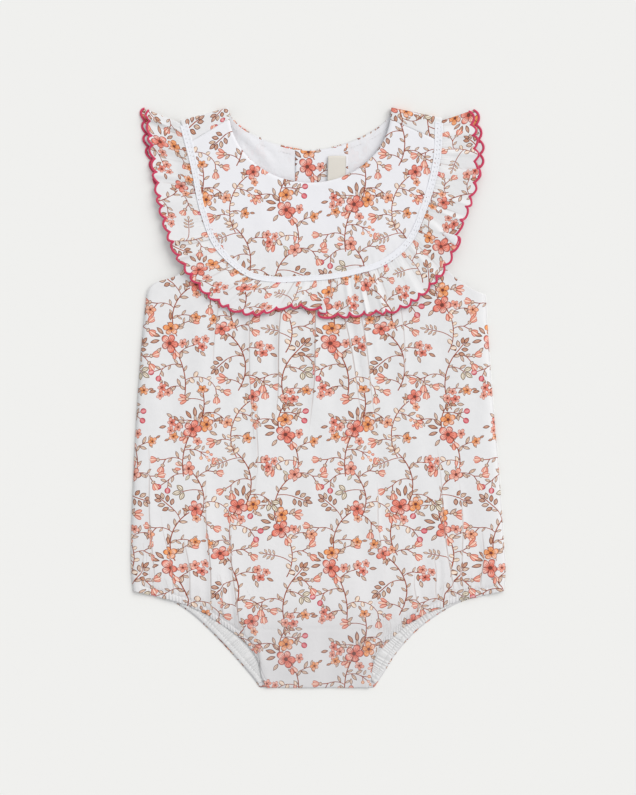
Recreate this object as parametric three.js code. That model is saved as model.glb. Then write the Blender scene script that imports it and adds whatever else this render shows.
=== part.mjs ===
// A baby romper laid flat: a gathered body with elasticated leg openings, a round yoke,
// and a scalloped flounce and a narrow lace in the yoke seam.
// Millimetres. X runs across the garment, Y from the crotch to the neck, Z up from the surface
// it lies on. The origin is the middle of the outline, on that surface.
import * as THREE from "three";

// Driving sizes
const WALL = 1.0; // thickness of a cloth layer, with its seam allowances
const GAP = 0.3; // between neighbouring pieces
const NECK = { x: -6.2, y: 211.6, halfWidth: 59.5, frontDrop: 53, backDrop: 28.5, backPower: 1.6 };
const SHOULDER_FLAP = 11; // how far the back yoke comes forward over the shoulder
const YOKE_BOW = 0.35; // rise of the yoke between its two edges
const LACE = { shoulderWidth: 5.8, centreWidth: 3.6, overRuffle: 1.0, endShare: 0.004 };
const SCALLOP = { pitch: 9.2, depth: 3.4, roundness: 0.7, steps: 4 };
const RUFFLE = { waves: 23, edgeHeight: 3.2, seamHeight: 0.6, lean: 1.3, rows: 4 };
const WAVE_DRIFTS = [ // slow swings that make the flounce's waves uneven
  { swings: 3.5, size: 0.32 },
  { swings: 8.5, size: 0.2 },
];
const BACK_RUFFLE = { share: 0.115, overhang: 5.5, scallops: 6 };
const LEG = { gathers: 11, gatherHeight: 0.7, gatherReach: 34, liftReach: 20 };
const CASING = { width: 10, gathers: 20, ripple: 0.2, setIn: 1.0, from: 0.14, to: 0.965 };
const SIDE_ROLL = 13; // width over which the front comes down to the side seams
const UNDER_YOKE = 1.5; // how far the front runs in under the yoke
const PLACKET = { left: -17.2, right: 21.8, belowNeck: 0.8, pastSeam: 2 };
const LABEL = { left: 6.8, width: 13.3, length: 21, top: 178, sag: 0.075 };

// Heights of the undersides of the layers
const BACK_Z = 0;
const INNER_Z = BACK_Z + WALL + GAP; // placket, casings and the sides of the front
const LABEL_Z = INNER_Z + WALL + GAP;
const YOKE_Z = LABEL_Z + WALL + GAP;
const RUFFLE_SEAM_Z = YOKE_Z + 0.1;
const LACE_Z = YOKE_Z + WALL + 0.55; // over the yoke's bow
const FRONT_Z = 2.9; // the front's underside away from its edges
const FRONT_TOP_Z = 2.3; // where the front runs in under the yoke
const LEG_Z = 3.1; // the front's leg edges, over the casings

// Sections round the yoke, from the left shoulder to the right: the seam with the flounce, the
// flounce's outer line, and the height that its edge rests at
const YOKE_SECTIONS = [
  { seamX: -101.0, seamY: 202.1, edgeX: -126.0, edgeY: 212.5, rest: 1.7 },
  { seamX: -92.9, seamY: 170.2, edgeX: -121.5, edgeY: 175.3, rest: 1.9 },
  { seamX: -86.3, seamY: 137.8, edgeX: -114.5, edgeY: 136.0, rest: 3.6 },
  { seamX: -75.0, seamY: 110.5, edgeX: -101.5, edgeY: 102.0, rest: 4.9 },
  { seamX: -51.7, seamY: 90.4, edgeX: -75.5, edgeY: 72.5, rest: 5.2 },
  { seamX: -31.9, seamY: 86.4, edgeX: -49.5, edgeY: 62.5, rest: 5.2 },
  { seamX: -11.3, seamY: 87.1, edgeX: -20.5, edgeY: 67.5, rest: 5.2 },
  { seamX: 9.3, seamY: 88.6, edgeX: 9.3, edgeY: 62.5, rest: 5.2 },
  { seamX: 29.1, seamY: 92.6, edgeX: 36.5, edgeY: 62.8, rest: 5.2 },
  { seamX: 46.7, seamY: 98.1, edgeX: 60.0, edgeY: 66.5, rest: 5.2 },
  { seamX: 66.8, seamY: 113.6, edgeX: 88.0, edgeY: 90.0, rest: 4.9 },
  { seamX: 79.1, seamY: 140.0, edgeX: 106.0, edgeY: 130.0, rest: 3.6 },
  { seamX: 88.3, seamY: 173.1, edgeX: 116.5, edgeY: 169.4, rest: 1.9 },
  { seamX: 90.5, seamY: 204.0, edgeX: 112.0, edgeY: 211.5, rest: 1.7 },
];

// Levels of the body, from the hip corners to the underarms
const BODY_LEVELS = [
  { y: -141.5, left: -136.5, right: 136.8 },
  { y: -124.0, left: -137.8, right: 137.8 },
  { y: -104.0, left: -137.8, right: 136.4 },
  { y: -55.5, left: -136.0, right: 133.1 },
  { y: -15.8, left: -134.0, right: 129.6 },
  { y: 34.9, left: -130.5, right: 125.8 },
  { y: 76.0, left: -126.6, right: 123.2 },
];

// The armholes, from the underarms to the yoke seam
const ARMHOLE_LEFT = [
  { x: -126.6, y: 76.0 },
  { x: -121.5, y: 84.0 },
  { x: -101.7, y: 92.2 },
  { x: -92.0, y: 113.0 },
  { x: -88.4, y: 150.0 },
];
const ARMHOLE_RIGHT = [
  { x: 123.2, y: 76.0 },
  { x: 113.0, y: 80.5 },
  { x: 96.0, y: 93.0 },
  { x: 85.5, y: 113.0 },
  { x: 81.0, y: 150.0 },
];
const ARMHOLE_SHARE = 0.12; // of the columns of the front that end on each armhole

// The leg edges, from the hip corners to the crotch
const FRONT_LEG_LEFT = [
  { x: -136.5, y: -141.5 },
  { x: -111.3, y: -147.8 },
  { x: -91.7, y: -154.2 },
  { x: -72.0, y: -166.0 },
  { x: -52.5, y: -180.8 },
  { x: -44.4, y: -193.7 },
  { x: -42.0, y: -204.5 },
  { x: -38.5, y: -213.0 },
];
const FRONT_LEG_RIGHT = [
  { x: 136.8, y: -141.5 },
  { x: 122.0, y: -144.8 },
  { x: 108.0, y: -147.5 },
  { x: 92.3, y: -153.3 },
  { x: 72.5, y: -162.1 },
  { x: 54.8, y: -175.9 },
  { x: 43.1, y: -188.5 },
  { x: 39.4, y: -200.5 },
  { x: 38.7, y: -213.0 },
];
const BACK_LEG_LEFT = [
  { x: -136.5, y: -141.5 },
  { x: -109.4, y: -148.8 },
  { x: -94.7, y: -157.7 },
  { x: -78.9, y: -171.9 },
  { x: -62.2, y: -189.6 },
  { x: -47.0, y: -207.5 },
  { x: -43.4, y: -213.0 },
];
const BACK_LEG_RIGHT = [
  { x: 136.8, y: -141.5 },
  { x: 104.1, y: -150.3 },
  { x: 85.3, y: -161.1 },
  { x: 69.5, y: -173.8 },
  { x: 56.8, y: -188.7 },
  { x: 46.5, y: -205.0 },
  { x: 41.1, y: -213.0 },
];
const LEG_SHARE = 0.36; // of the front's columns that end on each leg edge

// The front's main folds, each a soft ridge from one end to the other
const FRONT_FOLDS = [
  { fromX: -26, fromY: 84, toX: -32, toY: -17, width: 5, height: 1.0 },
  { fromX: 0, fromY: 84, toX: -6, toY: -21, width: 5, height: 1.0 },
  { fromX: 14, fromY: 86, toX: 34, toY: -21, width: 5, height: 1.0 },
  { fromX: 27, fromY: 86, toX: 44, toY: -25, width: 5, height: 0.8 },
  { fromX: -52, fromY: 86, toX: -47, toY: -60, width: 6, height: 0.7 },
  { fromX: 58, fromY: 92, toX: 66, toY: 0, width: 6, height: 0.6 },
  { fromX: -72, fromY: 96, toX: -78, toY: 10, width: 6, height: 0.6 },
  { fromX: -82, fromY: -62, toX: -80, toY: -157, width: 5, height: 0.9 },
  { fromX: -66, fromY: -85, toX: -61, toY: -172, width: 5, height: 0.9 },
  { fromX: -98, fromY: -100, toX: -94, toY: -152, width: 5, height: 0.7 },
  { fromX: -114, fromY: -90, toX: -106, toY: -147, width: 5, height: 0.7 },
  { fromX: -126, fromY: -30, toX: -121, toY: -125, width: 5, height: 0.9 },
  { fromX: 87, fromY: -40, toX: 99, toY: -130, width: 5, height: 1.0 },
  { fromX: 104, fromY: -60, toX: 107, toY: -144, width: 5, height: 0.7 },
  { fromX: 121, fromY: -95, toX: 120, toY: -142, width: 4, height: 0.7 },
];

const vec = (x, y, z = 0) => new THREE.Vector3(x, y, z);
const mix = THREE.MathUtils.lerp;
const ease = (x, from, to) => THREE.MathUtils.smoothstep(x, from, to);
const curveOf = (points) => new THREE.CatmullRomCurve3(points, false, "centripetal");
const curveOfRows = (rows, x = "x", y = "y") => curveOf(rows.map((row) => vec(row[x], row[y])));

// A closed wall between two grids of points, upper and lower, each a function of u and v in
// 0 to 1. Its faces are turned outwards whichever way the grid runs.
function wall(name, material, us, vs, lower, upper) {
  const columns = us.length;
  const rows = vs.length;
  const positions = [];
  for (const surface of [lower, upper])
    for (const v of vs) for (const u of us) positions.push(...surface(u, v).toArray());
  const at = (layer, column, row) => layer * columns * rows + row * columns + column;
  const faces = [];
  const quad = (a, b, c, d) => faces.push([a, b, c], [a, c, d]);
  for (let row = 0; row + 1 < rows; row++)
    for (let column = 0; column + 1 < columns; column++) {
      quad(at(1, column, row), at(1, column + 1, row), at(1, column + 1, row + 1), at(1, column, row + 1));
      quad(at(0, column, row), at(0, column, row + 1), at(0, column + 1, row + 1), at(0, column + 1, row));
    }
  const rim = [];
  for (let column = 0; column < columns; column++) rim.push([column, 0]);
  for (let row = 1; row < rows; row++) rim.push([columns - 1, row]);
  for (let column = columns - 2; column >= 0; column--) rim.push([column, rows - 1]);
  for (let row = rows - 2; row > 0; row--) rim.push([0, row]);
  rim.forEach((here, index) => {
    const next = rim[(index + 1) % rim.length];
    quad(at(0, ...here), at(0, ...next), at(1, ...next), at(1, ...here));
  });
  const corner = (index) => vec(...positions.slice(3 * index, 3 * index + 3));
  let volume = 0;
  for (const [a, b, c] of faces) volume += corner(a).dot(corner(b).cross(corner(c)));
  const turned = volume < 0 ? faces.map(([a, b, c]) => [a, c, b]) : faces;
  const geometry = new THREE.BufferGeometry();
  geometry.setAttribute("position", new THREE.Float32BufferAttribute(positions, 3));
  geometry.setIndex(turned.flat());
  geometry.computeVertexNormals();
  const mesh = new THREE.Mesh(geometry, material);
  mesh.name = name;
  return mesh;
}

const steps = (count, from = 0, to = 1) =>
  Array.from({ length: count + 1 }, (_, index) => mix(from, to, index / count));

// A wall of the usual thickness on a surface that is given by its underside
const clothWall = (name, material, us, vs, underside) =>
  wall(name, material, us, vs, underside, (u, v) => underside(u, v).add(vec(0, 0, WALL)));

// The surface between four edge curves (a Coons patch): the blend of the two pairs of opposite
// edges, less the blend of the corners that both pairs count
function patchBetween(bottom, top, left, right) {
  return (u, v) => {
    const across = left(v).multiplyScalar(1 - u).add(right(v).multiplyScalar(u));
    const along = bottom(u).multiplyScalar(1 - v).add(top(u).multiplyScalar(v));
    const low = bottom(0).multiplyScalar(1 - u).add(bottom(1).multiplyScalar(u));
    const high = top(0).multiplyScalar(1 - u).add(top(1).multiplyScalar(u));
    return across.add(along).sub(low.multiplyScalar(1 - v)).sub(high.multiplyScalar(v));
  };
}

const finish = (name, color, roughness) =>
  new THREE.MeshStandardMaterial({ name, color, roughness, metalness: 0 });
const CLOTH = finish("printed_cotton", 0xf0e6e2, 0.85);
const PLAIN = finish("plain_cotton", 0xe6e6ea, 0.9);
const LACE_COTTON = finish("lace", 0xfafaff, 0.8);
const LABEL_TAPE = finish("label", 0xcfcdc0, 0.7);

// The yoke's lines. Along each, s runs from the left shoulder fold to the right one.
const seamCurve = curveOfRows(YOKE_SECTIONS, "seamX", "seamY");
const edgeCurve = curveOfRows(YOKE_SECTIONS, "edgeX", "edgeY");
const restCurve = curveOf(YOKE_SECTIONS.map((row, index) => vec(index, row.rest)));
const seamAt = (s) => seamCurve.getPoint(s);
function frontNeck(s) {
  const angle = Math.PI * s;
  return vec(NECK.x - NECK.halfWidth * Math.cos(angle), NECK.y - NECK.frontDrop * Math.sin(angle));
}
function backNeck(s) {
  const across = -Math.cos(Math.PI * s);
  const depth = (1 - Math.abs(across) ** NECK.backPower) ** (1 / NECK.backPower);
  return vec(NECK.x + NECK.halfWidth * across, NECK.y - NECK.backDrop * depth);
}
const frontYokeAt = (s, t) => frontNeck(s).lerp(seamAt(s), t);
const backYokeAt = (s, t) => backNeck(s).lerp(seamAt(s), t);

// The share of the yoke's length that lies within a given distance of the shoulder fold
function shareWithin(distance, fromRight) {
  const fold = frontYokeAt(fromRight ? 1 : 0, 0.5);
  const distanceAt = (share) => frontYokeAt(fromRight ? 1 - share : share, 0.5).distanceTo(fold);
  return steps(1000, 0, 0.5).find((share) => distanceAt(share) >= distance);
}

const yokeBow = (t) => YOKE_BOW * Math.sin(Math.PI * t);

function frontYoke() {
  const from = shareWithin(SHOULDER_FLAP + GAP, false);
  const to = 1 - shareWithin(SHOULDER_FLAP + GAP, true);
  const underside = (s, t) => frontYokeAt(s, t).setZ(YOKE_Z + yokeBow(t));
  return clothWall("front_yoke", CLOTH, steps(36, from, to), steps(4), underside);
}

// Half of the back yoke, with the roll over its shoulder: it runs from the centre back along the
// surface, turns up round the shoulder fold and ends as a flap on the front.
function backYokeHalf(name, fromRight) {
  const foldS = fromRight ? 1 : 0;
  const flap = shareWithin(SHOULDER_FLAP, fromRight);
  const reach = (YOKE_Z - BACK_Z) / 2; // radius of the fold, to the middle of the wall
  const middle = BACK_Z + WALL / 2 + reach;
  const along = seamAt(foldS).sub(frontNeck(foldS)).normalize();
  const outward = vec(-along.y, along.x).multiplyScalar(fromRight ? 1 : -1);
  if (outward.y < 0) outward.negate();
  const stations = [];
  for (const share of [1, 0.5]) stations.push({ s: Math.abs(foldS - share * flap), side: "front" });
  for (const angle of steps(6, Math.PI, 0)) stations.push({ s: foldS, angle });
  const centre = fromRight ? centreShare(GAP / 2) : centreShare(-GAP / 2);
  for (const share of steps(14).slice(1)) stations.push({ s: mix(foldS, centre, share), side: "back" });
  const place = (side) => (index, t) => {
    const station = stations[Math.round(index * (stations.length - 1))];
    const offset = (WALL / 2) * side;
    if (station.side === "front")
      return frontYokeAt(station.s, t).setZ(YOKE_Z + WALL / 2 + offset + yokeBow(t));
    if (station.side === "back") return backYokeAt(station.s, t).setZ(BACK_Z + WALL / 2 - offset);
    const radius = reach + offset;
    const bow = yokeBow(t) * ease(station.angle, Math.PI / 2, Math.PI);
    return frontYokeAt(foldS, t)
      .addScaledVector(outward, radius * Math.sin(station.angle))
      .setZ(middle - radius * Math.cos(station.angle) + bow);
  };
  const shares = stations.map((_, index) => index / (stations.length - 1));
  return wall(name, CLOTH, shares, steps(3), place(-1), place(1));
}

// The share of the yoke's length at the centre back, plus a sideways offset in millimetres
function centreShare(offset) {
  return Math.acos(-offset / NECK.halfWidth) / Math.PI;
}

function placket() {
  const shareAt = (x) => Math.acos((NECK.x - x) / NECK.halfWidth) / Math.PI;
  const hem = seamAt(0.5).y + PLACKET.pastSeam;
  const neckline = (u) => backNeck(shareAt(mix(PLACKET.left, PLACKET.right, u))).y - PLACKET.belowNeck;
  const underside = (u, v) => vec(mix(PLACKET.left, PLACKET.right, u), mix(hem, neckline(u), v), INNER_Z);
  return clothWall("back_placket", CLOTH, steps(8), steps(2), underside);
}

function neckLabel() {
  const sag = (v) => LABEL.sag * Math.sin(Math.PI * v);
  const underside = (u, v) =>
    vec(LABEL.left + LABEL.width * u, LABEL.top - LABEL.length * (1 - v), LABEL_Z - sag(v));
  return clothWall("neck_label", LABEL_TAPE, steps(3), steps(5), underside);
}

// The flounce: sections from the seam to the edge, lifted in waves that grow towards the edge
const scallopCount = Math.round(edgeCurve.getLength() / SCALLOP.pitch);
const scallopAt = (share, count) =>
  SCALLOP.depth * (Math.abs(Math.sin(Math.PI * share * count)) ** SCALLOP.roundness - 0.5);
function wavePhase(u) {
  const drift = WAVE_DRIFTS.reduce((sum, row) => sum + row.size * Math.sin(2 * Math.PI * row.swings * u), 0);
  return 2 * Math.PI * (RUFFLE.waves * u + drift);
}

function ruffle() {
  const underside = (u, t) => {
    const s = edgeCurve.getUtoTmapping(u);
    const seam = seamAt(s);
    const edge = edgeCurve.getPoint(s);
    const outward = edge.clone().sub(seam).normalize();
    const tangent = edgeCurve.getTangent(s);
    const reach = edge.distanceTo(seam) - GAP + scallopAt(u, scallopCount);
    const phase = wavePhase(u);
    const height = mix(RUFFLE.seamHeight, RUFFLE.edgeHeight, t) * ease(t, 0, 0.3);
    const lift = height * (0.5 - 0.5 * Math.cos(phase));
    const base = mix(RUFFLE_SEAM_Z, restCurve.getPoint(s).y, ease(t, 0, 0.45));
    return seam
      .addScaledVector(outward, GAP + reach * t)
      .addScaledVector(tangent, RUFFLE.lean * t * Math.sin(phase))
      .setZ(base + lift);
  };
  const columns = steps(scallopCount * SCALLOP.steps);
  return clothWall("ruffle_front", CLOTH, columns, steps(RUFFLE.rows), underside);
}

// A back end of the flounce, flat under the front one and a little wider at the shoulder
function ruffleBack(name, fromRight) {
  const underside = (u, t) => {
    const s = fromRight ? 1 - BACK_RUFFLE.share * u : BACK_RUFFLE.share * u;
    const seam = seamAt(s);
    const edge = edgeCurve.getPoint(s);
    const outward = edge.clone().sub(seam).normalize();
    const width = edge.distanceTo(seam) + BACK_RUFFLE.overhang * (1 - ease(u, 0.1, 1));
    const reach = width - GAP + scallopAt(u, BACK_RUFFLE.scallops);
    return seam.addScaledVector(outward, GAP + reach * t).setZ(BACK_Z);
  };
  return clothWall(name, CLOTH, steps(BACK_RUFFLE.scallops * SCALLOP.steps), steps(1), underside);
}

function lace() {
  const underside = (s, t) => {
    const seam = seamAt(s);
    const inward = frontNeck(s).sub(seam).normalize();
    const widthHere = mix(LACE.shoulderWidth, LACE.centreWidth, ease(Math.sin(Math.PI * s), 0.5, 1));
    return seam.addScaledVector(inward, widthHere * t - LACE.overRuffle).setZ(LACE_Z);
  };
  const along = steps(56, LACE.endShare, 1 - LACE.endShare);
  return clothWall("lace_trim", LACE_COTTON, along, steps(1), underside);
}

// The body's edge curves, each a function from 0 to 1
const alongOf = (curve) => (t) => curve.getPointAt(THREE.MathUtils.clamp(t, 0, 1));
const leftSide = alongOf(curveOfRows(BODY_LEVELS, "left", "y"));
const rightSide = alongOf(curveOfRows(BODY_LEVELS, "right", "y"));
function legAndCrotch(leftRows, rightRows) {
  const left = alongOf(curveOfRows(leftRows));
  const right = alongOf(curveOfRows(rightRows));
  return (u) => {
    if (u <= LEG_SHARE) return left(u / LEG_SHARE);
    if (u >= 1 - LEG_SHARE) return right((1 - u) / LEG_SHARE);
    return left(1).lerp(right(1), (u - LEG_SHARE) / (1 - 2 * LEG_SHARE));
  };
}
const frontBottom = legAndCrotch(FRONT_LEG_LEFT, FRONT_LEG_RIGHT);
const backBottom = legAndCrotch(BACK_LEG_LEFT, BACK_LEG_RIGHT);

// The top edge of a body panel: an armhole, the yoke seam and the other armhole. The panel runs
// a set distance in under the yoke.
function topEdge(underYoke) {
  const armLeft = alongOf(curveOfRows(ARMHOLE_LEFT));
  const armRight = alongOf(curveOfRows(ARMHOLE_RIGHT));
  const nearest = (point) =>
    steps(400).reduce((best, s) => (seamAt(s).distanceTo(point) < seamAt(best).distanceTo(point) ? s : best), 0);
  const from = nearest(armLeft(1));
  const to = nearest(armRight(1));
  const seam = (share) => {
    const s = mix(from, to, share);
    return seamAt(s).addScaledVector(frontNeck(s).sub(seamAt(s)).normalize(), underYoke);
  };
  return (u) => {
    if (u < ARMHOLE_SHARE) return armLeft(u / ARMHOLE_SHARE).lerp(seam(0), ease(u / ARMHOLE_SHARE, 0.6, 1));
    if (u > 1 - ARMHOLE_SHARE)
      return armRight((1 - u) / ARMHOLE_SHARE).lerp(seam(1), ease((1 - u) / ARMHOLE_SHARE, 0.6, 1));
    return seam((u - ARMHOLE_SHARE) / (1 - 2 * ARMHOLE_SHARE));
  };
}

// Height that the folds add at a point of the front
function foldHeight(point) {
  let height = 0;
  for (const fold of FRONT_FOLDS) {
    const from = vec(fold.fromX, fold.fromY);
    const run = vec(fold.toX, fold.toY).sub(from);
    const along = point.clone().sub(from).dot(run) / run.lengthSq();
    const aside = (point.x - mix(fold.fromX, fold.toX, along)) / fold.width;
    const taper = ease(along, -0.02, 0.22) * (1 - ease(along, 0.7, 1.05));
    height = Math.max(height, fold.height * taper * Math.exp(-aside * aside));
  }
  return height;
}

function frontBody() {
  const flat = patchBetween(frontBottom, topEdge(UNDER_YOKE), leftSide, rightSide);
  const underside = (u, v) => {
    const point = flat(u, v);
    const aside = Math.min(point.distanceTo(leftSide(v)), point.distanceTo(rightSide(v)));
    const legShare = Math.min(u, 1 - u) / LEG_SHARE;
    const fromLeg = frontBottom(u).distanceTo(point);
    const onLeg = ease(legShare, 0, 0.15) * (1 - ease(legShare, 0.93, 1.2));
    const gather = Math.exp(-fromLeg / LEG.gatherReach) * LEG.gatherHeight * onLeg;
    const ripple = gather * (0.5 - 0.5 * Math.cos(2 * Math.PI * LEG.gathers * legShare));
    const toLeg = onLeg * (1 - ease(fromLeg, 0, LEG.liftReach));
    const inside = mix(mix(FRONT_Z, LEG_Z, toLeg), FRONT_TOP_Z, ease(v, 0.86, 0.97));
    const height = mix(INNER_Z, inside, ease(aside, 0, SIDE_ROLL));
    const folds = foldHeight(point) * ease(aside, 2, 12);
    return point.setZ(height + folds + ripple);
  };
  const columns = [...steps(26, 0, LEG_SHARE), ...steps(12, LEG_SHARE, 1 - LEG_SHARE).slice(1, -1)];
  columns.push(...steps(26, 1 - LEG_SHARE, 1));
  const rows = [0, 0.025, 0.06, 0.1, ...steps(14, 0.15, 0.86), 0.92, 1];
  return clothWall("front_body", CLOTH, columns, rows, underside);
}

function backBody() {
  const flat = patchBetween(backBottom, topEdge(-GAP), leftSide, rightSide);
  const underside = (u, v) => flat(u, v).setZ(BACK_Z);
  return clothWall("back_body", CLOTH, steps(50), steps(6), underside);
}

// The elastic casing inside a back leg edge, in fine gathers
function legCasing(name, rows) {
  const edge = alongOf(curveOfRows(rows));
  const curve = curveOfRows(rows);
  const toSide = rows[0].x < 0 ? 1 : -1;
  const underside = (u, v) => {
    const t = mix(CASING.from, CASING.to, u);
    const tangent = curve.getTangentAt(t);
    const inward = vec(-tangent.y * toSide, tangent.x * toSide);
    const ripple = CASING.ripple * (1 - Math.cos(2 * Math.PI * CASING.gathers * u));
    const width = CASING.width * ease(u, -0.12, 0.12);
    return edge(t).addScaledVector(inward, CASING.setIn + width * v).setZ(INNER_Z + ripple);
  };
  return clothWall(name, PLAIN, steps(CASING.gathers * 4), steps(1), underside);
}

const romper = new THREE.Group();
romper.name = "baby_romper";
romper.add(
  backBody(),
  backYokeHalf("back_yoke_left", false),
  backYokeHalf("back_yoke_right", true),
  placket(),
  neckLabel(),
  legCasing("leg_casing_left", BACK_LEG_LEFT),
  legCasing("leg_casing_right", BACK_LEG_RIGHT),
  frontBody(),
  frontYoke(),
  ruffle(),
  ruffleBack("ruffle_back_left", false),
  ruffleBack("ruffle_back_right", true),
  lace(),
);

export default romper;
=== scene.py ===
# A sleeveless baby romper in white printed cotton, laid flat on its back: a gathered body with
# elasticated legs, a round yoke with a narrow lace, and a scalloped flounce edged in raspberry thread.
# Sizes are in millimetres; MM turns them to Blender's metres. Heights are above the floor.
from functools import partialmethod

import bpy
import numpy as np
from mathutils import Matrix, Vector


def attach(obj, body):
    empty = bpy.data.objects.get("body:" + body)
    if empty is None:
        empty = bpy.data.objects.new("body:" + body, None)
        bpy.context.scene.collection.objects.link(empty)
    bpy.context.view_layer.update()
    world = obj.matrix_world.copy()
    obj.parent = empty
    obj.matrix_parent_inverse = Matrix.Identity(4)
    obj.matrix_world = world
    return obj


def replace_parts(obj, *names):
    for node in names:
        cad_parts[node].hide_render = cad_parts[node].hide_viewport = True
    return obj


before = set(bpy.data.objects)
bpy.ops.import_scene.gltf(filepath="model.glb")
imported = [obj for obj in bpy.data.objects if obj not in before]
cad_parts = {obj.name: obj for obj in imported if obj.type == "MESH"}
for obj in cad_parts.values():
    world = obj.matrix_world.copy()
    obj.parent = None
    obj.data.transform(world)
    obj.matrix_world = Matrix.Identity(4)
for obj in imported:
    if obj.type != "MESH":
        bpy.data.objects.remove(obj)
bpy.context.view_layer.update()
MM = 0.001

# The back: a panel of printed cotton, face down, from the yoke seam to the crotch, with its leg edges
# turned in. Its plain inside shows in the leg openings. All the printed panels are cut from one cloth,
# whose trailing flower print is charted here as one repeat.
CLOTH = 0.45  # thickness of a layer
FLOOR_GAP = 0.02  # least height of a layer's back above the floor
FOOT_Y, CROTCH_LINE = -213.0, -169.4  # the crotch edge, and the stitched line over it
COTTON_THREADS = 34  # to the centimetre
COTTON_WHITES = (232, 232, 233), (239, 239, 240)
# Painted light: the cotton's white is painted darker towards the foot and lighter towards the yoke. The
# yoke's white is also the colour of the cloth's plain inside.
FOOT_SHADED_WHITE, YOKE_WHITE = (231, 230, 231), (239, 239, 243)
FOOT_SHADE, YOKE_SHADE = (-5, 9), (9, 4)  # where each white begins and how soon it is full, in centimetres
STEM_INKS = (136, 50, 18), (176, 80, 36)
# Painted shade: a grey for the weave's gaps and the doubled crotch, and a warm grey along pressed creases
COTTON_PAINTED_SHADE, CREASE_PAINTED_SHADE = (158, 156, 159), (186, 160, 150)
# Painted shade: the crotch's grey begins this far above its line
CROTCH_SHADE = 2.5  # centimetres above the crotch line where its grey begins
HEM_RIB_PITCH, HEM_RIB_REACH = 2.6, 9.0
YOKE_SECTIONS = np.array([
    # seam x, seam y, flounce edge x, edge y, height that the edge rests at
    (-101.0, 202.1, -126.0, 212.5, 1.7),
    (-92.9, 170.2, -121.5, 175.3, 1.9),
    (-86.3, 137.8, -114.5, 136.0, 3.6),
    (-75.0, 110.5, -101.5, 102.0, 4.9),
    (-51.7, 90.4, -75.5, 72.5, 5.2),
    (-31.9, 86.4, -49.5, 62.5, 5.2),
    (-11.3, 87.1, -20.5, 67.5, 5.2),
    (9.3, 88.6, 9.3, 62.5, 5.2),
    (29.1, 92.6, 36.5, 62.8, 5.2),
    (46.7, 98.1, 60.0, 66.5, 5.2),
    (66.8, 113.6, 88.0, 90.0, 4.9),
    (79.1, 140.0, 106.0, 130.0, 3.6),
    (88.3, 173.1, 116.5, 169.4, 1.9),
    (90.5, 204.0, 112.0, 211.5, 1.7),
])
NECK_X, NECK_Y, NECK_HALF_WIDTH = -6.2, 211.6, 59.5
FRONT_NECK_DROP, BACK_NECK_DROP, BACK_NECK_POWER = 53.0, 28.5, 1.6
BODY_LEVELS = np.array([
    # y, left side, right side
    (-141.5, -136.5, 136.8),
    (-124.0, -137.8, 137.8),
    (-104.0, -137.8, 136.4),
    (-55.5, -136.0, 133.1),
    (-15.8, -134.0, 129.6),
    (34.9, -130.5, 125.8),
    (76.0, -126.6, 123.2),
])
ARMHOLE_LEFT = [(-126.6, 76.0), (-121.5, 84.0), (-101.7, 92.2), (-92.0, 113.0), (-88.4, 150.0)]
ARMHOLE_RIGHT = [(123.2, 76.0), (113.0, 80.5), (96.0, 93.0), (85.5, 113.0), (81.0, 150.0)]
ARMHOLE_SHARE = 0.12  # of a body panel's width, at its top
LEG_SHARE = 0.36  # of a body panel's width, at its foot
BACK_LEG_LEFT = [
    (-136.5, -141.5), (-109.4, -148.8), (-94.7, -157.7), (-78.9, -171.9), (-62.2, -189.6),
    (-47.0, -207.5), (-43.4, FOOT_Y),
]
BACK_LEG_RIGHT = [
    (136.8, -141.5), (104.1, -150.3), (85.3, -161.1), (69.5, -173.8), (56.8, -188.7),
    (46.5, -205.0), (41.1, FOOT_Y),
]
BACK_COLUMNS, BACK_ROWS, BACK_UNDER_YOKE = 150, 150, -0.1
BACK_REST = 0.03  # of its face above the floor


def ease(x, start, end):
    """0 up to start, 1 from end, and 3t^2 - 2t^3 between them."""
    t = np.clip((np.asarray(x, float) - start) / (end - start), 0, 1)
    return t * t * (3 - 2 * t)


def mix(first, second, share):
    """A value that goes from the first to the second as the share goes from 0 to 1."""
    return first + (second - first) * share


def curve_through(points, samples=24):
    """Dense points of a centripetal Catmull-Rom curve: each stretch is the cubic whose end slopes
    weigh the chords beside it by the square roots of their lengths."""
    p = np.asarray(points, float)
    p = np.concatenate([[2 * p[0] - p[1]], p, [2 * p[-1] - p[-2]]])
    a, b, c, d = p[:-3], p[1:-2], p[2:-1], p[3:]
    ab, bc, cd = (np.linalg.norm(q - r, axis=1, keepdims=True) ** 0.5 for q, r in ((b, a), (c, b), (d, c)))
    start = bc * ((b - a) / ab - (c - a) / (ab + bc) + (c - b) / bc)
    end = bc * ((c - b) / bc - (d - b) / (bc + cd) + (d - c) / cd)
    t = (np.arange(samples) / samples)[:, None, None]
    dense = (2 * t**3 - 3 * t**2 + 1) * b + (t**3 - 2 * t**2 + t) * start
    dense = dense + (3 * t**2 - 2 * t**3) * c + (t**3 - t**2) * end
    return np.concatenate([dense.transpose(1, 0, 2).reshape(-1, p.shape[1]), p[-2:-1]])


def between(points, where, wanted):
    """Points at wanted values of `where`, which grows from row to row of the given points."""
    return np.stack([np.interp(wanted, where, column) for column in points.T], -1)


def at_share(dense, share):
    """Points of a dense curve at shares of its number of stretches."""
    return between(dense, np.linspace(0, 1, len(dense)), share)


def running_length(points):
    """Length from the first row of points to each row, down every column."""
    step = np.linalg.norm(np.diff(points, axis=0), axis=-1)
    return np.concatenate([0 * step[:1], np.cumsum(step, axis=0)])


def at_length(dense, share):
    """Points of a dense curve at shares of its length."""
    run = running_length(dense)
    return between(dense, run / run[-1], share)


def unit(vectors):
    """Vectors brought to a length of 1."""
    return vectors / np.maximum(np.linalg.norm(vectors, axis=-1, keepdims=True), 1e-9)


def apart(points, others):
    """Distances between points and others."""
    return np.linalg.norm(points - others, axis=-1)


seam_line = curve_through(YOKE_SECTIONS[:, 0:2])
edge_line = curve_through(YOKE_SECTIONS[:, 2:4])
left_side = curve_through(BODY_LEVELS[:, [1, 0]])
right_side = curve_through(BODY_LEVELS[:, [2, 0]])


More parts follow.
